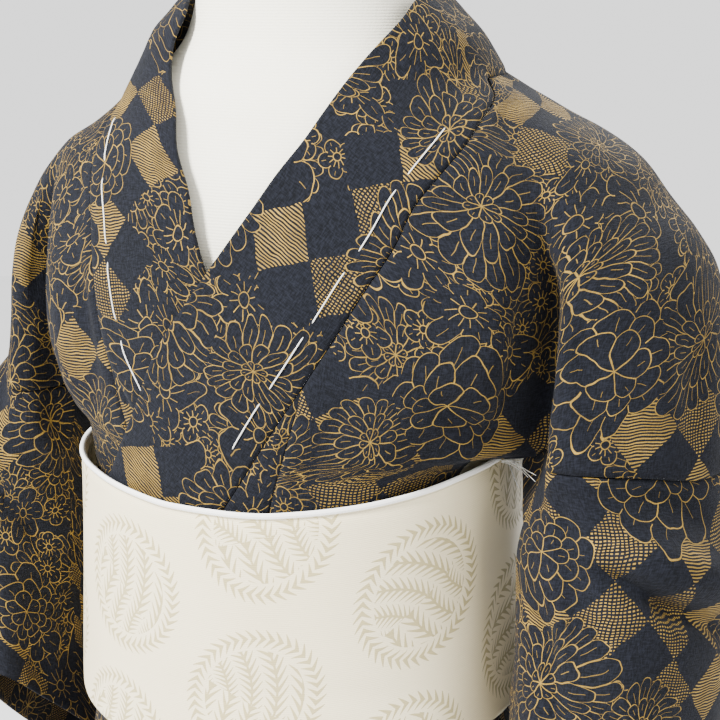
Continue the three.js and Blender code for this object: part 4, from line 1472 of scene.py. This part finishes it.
def kimono_cloth():
    finish = Finish("kimono_cloth")
    u, v = finish.cut_coordinates()
    wobble = wander(finish, u, v, ((0, 0), (3.1, 1.7)), 95.0, 0.0032, 1.0)
    bend = wander(finish, u, v, ((5.3, 2.1), (8.9, 4.7)), 26.0, 0.026, 0.0)
    du, dv = u + wobble[0], v + wobble[1]
    bent_u, bent_v = du + bend[0], dv + bend[1]

    radius, turn, chance = scatter(finish, bent_u, bent_v, *LARGE)
    size = reach_of(chance, *LARGE_REACH)
    daisy, daisy_inside = chrysanthemum(radius, turn, size)
    bloom, bloom_inside = ruffled_bloom(radius, turn, size)
    is_bloom = chance[2] > IS_BLOOM
    large = daisy + (bloom - daisy) * is_bloom
    large_inside = daisy_inside + (bloom_inside - daisy_inside) * is_bloom

    radius, turn, chance = scatter(finish, bent_u, bent_v, *MIDDLE)
    middle, middle_inside = five_petals(radius, turn, reach_of(chance, *MIDDLE_REACH))
    radius, turn, chance = scatter(finish, du, dv, *SMALL)
    small, small_inside = five_petals(radius, turn, reach_of(chance, *SMALL_REACH))
    radius, turn, _ = scatter(finish, du, dv, *BEHIND)
    behind, _ = chrysanthemum(radius, turn, BEHIND_REACH)

    squares, patch = chequers(finish, du, dv)
    ground = over(small, small_inside, behind * 0.9)
    ground = over(middle, middle_inside, ground)
    ground = ground + (squares - ground) * patch
    drawing = over(large, large_inside, ground).smaller(1.0)
    wear = finish.noise((u, v), 55.0, detail=3.0)
    gold = drawing * (0.62 + 0.55 * wear).smaller(1.0)

    slub = finish.noise((u * 260.0, v * 1100.0))
    cross_slub = finish.noise((u * 1100.0, v * 260.0 + 7.0))
    tone = finish.noise((u, v), 14.0, detail=3.0)
    fleck = (slub * 0.5 + cross_slub * 0.5).soft_step(0.35, 0.68)
    navy = finish.mix(fleck * 0.7 + tone * 0.3, linear(6, 7, 9), linear(27, 29, 37))
    thread = finish.mix(wear, linear(96, 74, 28), linear(172, 140, 64))
    colour = finish.mix(gold, navy, thread)
    return finish.finish_with(
        colour, 0.92 - gold * 0.25, metallic=gold * 0.2, height=fleck, depth=0.0002,
        constants={"Sheen Weight": 0.02, "Sheen Roughness": 0.5, "Specular IOR Level": 0.1},
    )


kimono_material = kimono_cloth()
print("nodes in the kimono cloth:", len(kimono_material.node_tree.nodes))

# %% [markdown]
# ## Obi cloth
#
# The obi is cream satin with large round medallions of leaves in the weave, a shade darker than the
# ground. They are woven, so they barely rise: the weft floats lie the other way and catch the
# light differently. The weave is far finer than the mesh, so colour, roughness and a low bump show
# it. Medallions sit in staggered rows along the band.

# %% Medallions
MEDALLION = 0.0405                # radius of a medallion, in metres
COLUMN_STEP = 0.092               # distance between columns of medallions along the obi
ROW_STEP = 0.098                  # distance between medallions up a column
SEEN_MEDALLION = np.array([265.0, 531.0])
SELVEDGE = 0.0034                 # height of the white edge, in metres


def leaflets(along, aside, half_width, lean, fullness=0.3):
    """Slanting leaflets on both sides of a stem. Along counts them, aside is the distance off it."""
    slanted = (along - abs(aside) * (lean / half_width)).part()
    taper = fullness * (1.15 - abs(aside) / half_width)
    leaflet = (taper - abs(slanted - 0.5)).soft_step(-0.05, 0.05)
    return leaflet * (abs(aside) < half_width)


def medallion(finish, x, y, chance):
    """A round motif: curved fronds side by side, inside a wreath of short leaf strokes."""
    radius, turn = finish.polar(x, y)
    angle = (chance - 0.5) * 2.4
    across = x * angle.cosine() + y * angle.sine()
    along = y * angle.cosine() - x * angle.sine()
    wreath = leaflets(turn * 44, radius - 0.9, 0.13, 0.9, 0.27)
    inner_radius, inner_turn = finish.polar(across + 1.25, along - 0.25)
    frond = ((inner_radius / 0.36).part() - 0.5) * 0.36
    fronds = leaflets(inner_turn * 74, frond, 0.165, 1.5)
    stem = frond.line(0.016)
    side_radius, side_turn = finish.polar(across - 0.95, along + 0.8)
    second = ((side_radius / 0.34).part() - 0.5) * 0.34
    crossing = leaflets(side_turn * 60, second, 0.155, -1.4).larger(second.line(0.015))
    lower = (along + across * 0.7 + 0.1) < 0
    fronds = fronds.larger(stem)
    inside = fronds + (crossing - fronds) * lower
    return wreath.larger(inside * (radius < 0.73))


print("medallions are", 2000 * MEDALLION, "mm across")


# %% Obi cloth finish
def obi_cloth():
    finish = Finish("obi_cloth")
    u, v = finish.cut_coordinates()
    first_u, first_v = map(float, place_of(SEEN_MEDALLION, obi_grid_shaped, obi_normals, obi_cut))
    placed_u = (u - first_u) / COLUMN_STEP + 0.5
    column = placed_u.floor()
    placed_v = (v - first_v) / ROW_STEP + 0.5 + column * 0.5
    row = placed_v.floor()
    x = (placed_u.part() - 0.5) * (COLUMN_STEP / MEDALLION)
    y = (placed_v.part() - 0.5) * (ROW_STEP / MEDALLION)
    motif = medallion(finish, x, y, finish.chance(column, row))
    rows_of_weft = (v * (FULL_TURN / 0.0011)).sine() * 0.5 + 0.5
    slub = finish.noise((u * 90.0, v * 1500.0), detail=3.0)
    tone = finish.noise((u, v), 9.0, detail=3.0)
    ground = finish.mix(tone * 0.6 + slub * 0.4, linear(228, 212, 170), linear(244, 232, 198))
    leaf = finish.mix(slub, linear(158, 144, 96), linear(192, 178, 128))
    edge = (v + SELVEDGE).soft_step(-0.0003, 0.0003)
    # Painted shade: a darker line along the crease under the rolled top edge. The same line also sinks the
    # bump into a groove there.
    fold_groove_and_painted_shade = (v + SELVEDGE + 0.0008).line(0.0006)
    ground = finish.mix(edge, ground, linear(252, 250, 244))
    # The crease's painted shade darkens the ground to a deeper cream.
    ground = finish.mix(fold_groove_and_painted_shade * 0.55, ground, linear(168, 158, 130))
    motif = motif * (1 - edge)
    colour = finish.mix(motif * 0.9, ground, leaf)
    height = rows_of_weft * 0.25 + slub * 0.35 + motif * 0.5 - fold_groove_and_painted_shade * 0.8
    return finish.finish_with(
        colour, 0.5 + motif * 0.22, height=height, depth=0.00025,
        constants={"Sheen Weight": 0.15, "Sheen Roughness": 0.35, "Specular IOR Level": 0.45},
    )


obi_material = obi_cloth()
print("nodes in the obi cloth:", len(obi_material.node_tree.nodes))

# %% [markdown]
# ## Form, wood, steel and thread
#
# The form wears a fine cream jersey, whose rows show faintly. Its cap and base are varnished wood
# with rings and streaks of grain, and the pole is brushed steel, with fine scratches round it.
# Each is worked out from the place on the piece in metres, so grain and stitches have their real
# size on every piece.

# %% Other finishes
def object_place(finish):
    """The place on the piece in metres, as three values."""
    place = finish.node("ShaderNodeTexCoord", output=3)
    return finish.node("ShaderNodeSeparateXYZ", None, {0: place}, output=(0, 1, 2))


def form_jersey():
    finish = Finish("form_jersey")
    x, y, z = object_place(finish)
    rows = (z * (FULL_TURN / 0.0016)).sine() * 0.5 + 0.5
    stitch = finish.noise((x * 600.0, y * 600.0, z * 900.0), detail=1.0)
    tone = finish.noise((x, y, z), 12.0)
    mixed = rows * 0.25 + stitch * 0.35 + tone * 0.4
    colour = finish.mix(mixed, linear(238, 232, 208), linear(250, 247, 232))
    height = rows * 0.5 + stitch * 0.5
    return finish.finish_with(
        colour, 0.85 + tone * 0.08, height=height, depth=0.0002, constants={"Sheen Weight": 0.2},
    )


def varnished_wood():
    finish = Finish("varnished_wood")
    x, y, z = object_place(finish)
    bend = finish.noise((x * 3.0, y * 0.8, z * 3.0))
    rings = ((x + bend * 0.22) * 540.0).sine() * 0.5 + 0.5
    pores = finish.noise((x * 420.0, y * 22.0, z * 420.0))
    streak = rings * 0.4 + pores * 0.6
    colour = finish.mix(streak, linear(104, 74, 38), linear(150, 114, 66))
    return finish.finish_with(
        colour, 0.42 + pores * 0.12, height=streak, depth=0.0003, constants={"Coat Weight": 0.25},
    )


def brushed_steel():
    finish = Finish("brushed_steel")
    x, y, z = object_place(finish)
    scratch = finish.noise((x * 30.0, y * 30.0, z * 2600.0))
    colour = finish.mix(scratch, linear(176, 178, 181), linear(214, 216, 218))
    return finish.finish_with(colour, 0.22 + scratch * 0.2, metallic=1.0, height=scratch, depth=0.0001)


def cotton_thread():
    finish = Finish("cotton_thread")
    x, y, z = object_place(finish)
    twist = ((x + y + z) * (FULL_TURN / 0.0015)).sine() * 0.5 + 0.5
    colour = finish.mix(twist, linear(226, 224, 214), linear(252, 251, 246))
    return finish.finish_with(colour, 0.7 + twist * 0.1, height=twist, depth=0.0002)


print("materials so far:", len(bpy.data.materials))


# %% Dressing the pieces
def dress(piece, material):
    piece.data.materials.clear()
    piece.data.materials.append(material)


jersey, wood, steel, thread = form_jersey(), varnished_wood(), brushed_steel(), cotton_thread()
OTHER_FINISHES = {
    "obi": (obi_material, "obi_cloth"),
    "form_torso": (jersey, "form_cloth"),
    "form_cap": (wood, "wood"),
    "stand_pole": (steel, "steel"),
    "stand_base": (wood, "wood"),
}
for name, piece in pieces.items():
    material, slot = OTHER_FINISHES.get(name, (kimono_material, "kimono_cloth"))
    dress(piece, material)
dress(basting, thread)
dress(yarns, thread)
print("pieces dressed:", len(pieces) + 2)

# %% [markdown]

# %% [markdown]
# ## Studio
#
# A pale round floor, a white surround and three round lamps light the garment. The key, from the
# upper left of the camera, is the smallest and strongest, so that creases and seams cast a shadow.
# Two wide, weak ones fill in from the right and pick out the shoulders from behind. One bright
# surround alone would be simpler, but would leave the cloth flat.

# %% Floor and light
FLOOR_RADIUS, FLOOR_Z = 7000.0, -0.5


def studio_floor(count=96):
    rim = ring(FLOOR_RADIUS, round_angles(count), FLOOR_Z)
    floor = new_object("floor", rim, [tuple(range(count))])
    finish = Finish("pale_floor")
    x, y, z = object_place(finish)
    tone = finish.noise((x, y, z), 3.0)
    colour = finish.mix(tone, linear(238, 238, 238), linear(246, 246, 246))
    dress(floor, finish.finish_with(colour, 0.9))


def lamp(name, place, aim, size, power):
    data = bpy.data.lights.new(name, "AREA")
    data.shape = "DISK"
    data.size = size
    data.energy = power
    light = bpy.data.objects.new(name, data)
    light.location = place
    light.rotation_euler = (Vector(aim) - Vector(place)).to_track_quat("-Z", "Y").to_euler()
    bpy.context.scene.collection.objects.link(light)


def white_surround(strength):
    world = bpy.data.worlds.new("surround")
    world.use_nodes = True
    background = world.node_tree.nodes["Background"]
    background.inputs["Color"].default_value = (1.0, 1.0, 1.0, 1.0)
    background.inputs["Strength"].default_value = strength
    bpy.context.scene.world = world


studio_floor()
lamp("key", (-0.9, -1.7, 2.7), (0.0, 0.0, 1.15), 0.55, 235.0)
lamp("fill", (2.0, -1.0, 1.7), (0.0, 0.0, 1.1), 1.5, 24.0)
lamp("rim", (0.4, 1.9, 2.3), (0.0, 0.0, 1.1), 1.2, 40.0)
white_surround(1.7)
print("lamps:", len(bpy.data.lights))

# %% [markdown]
# ## Size
#
# The dressed model has to stay inside the box of the packed one, apart from what soft cloth may
# stand proud.
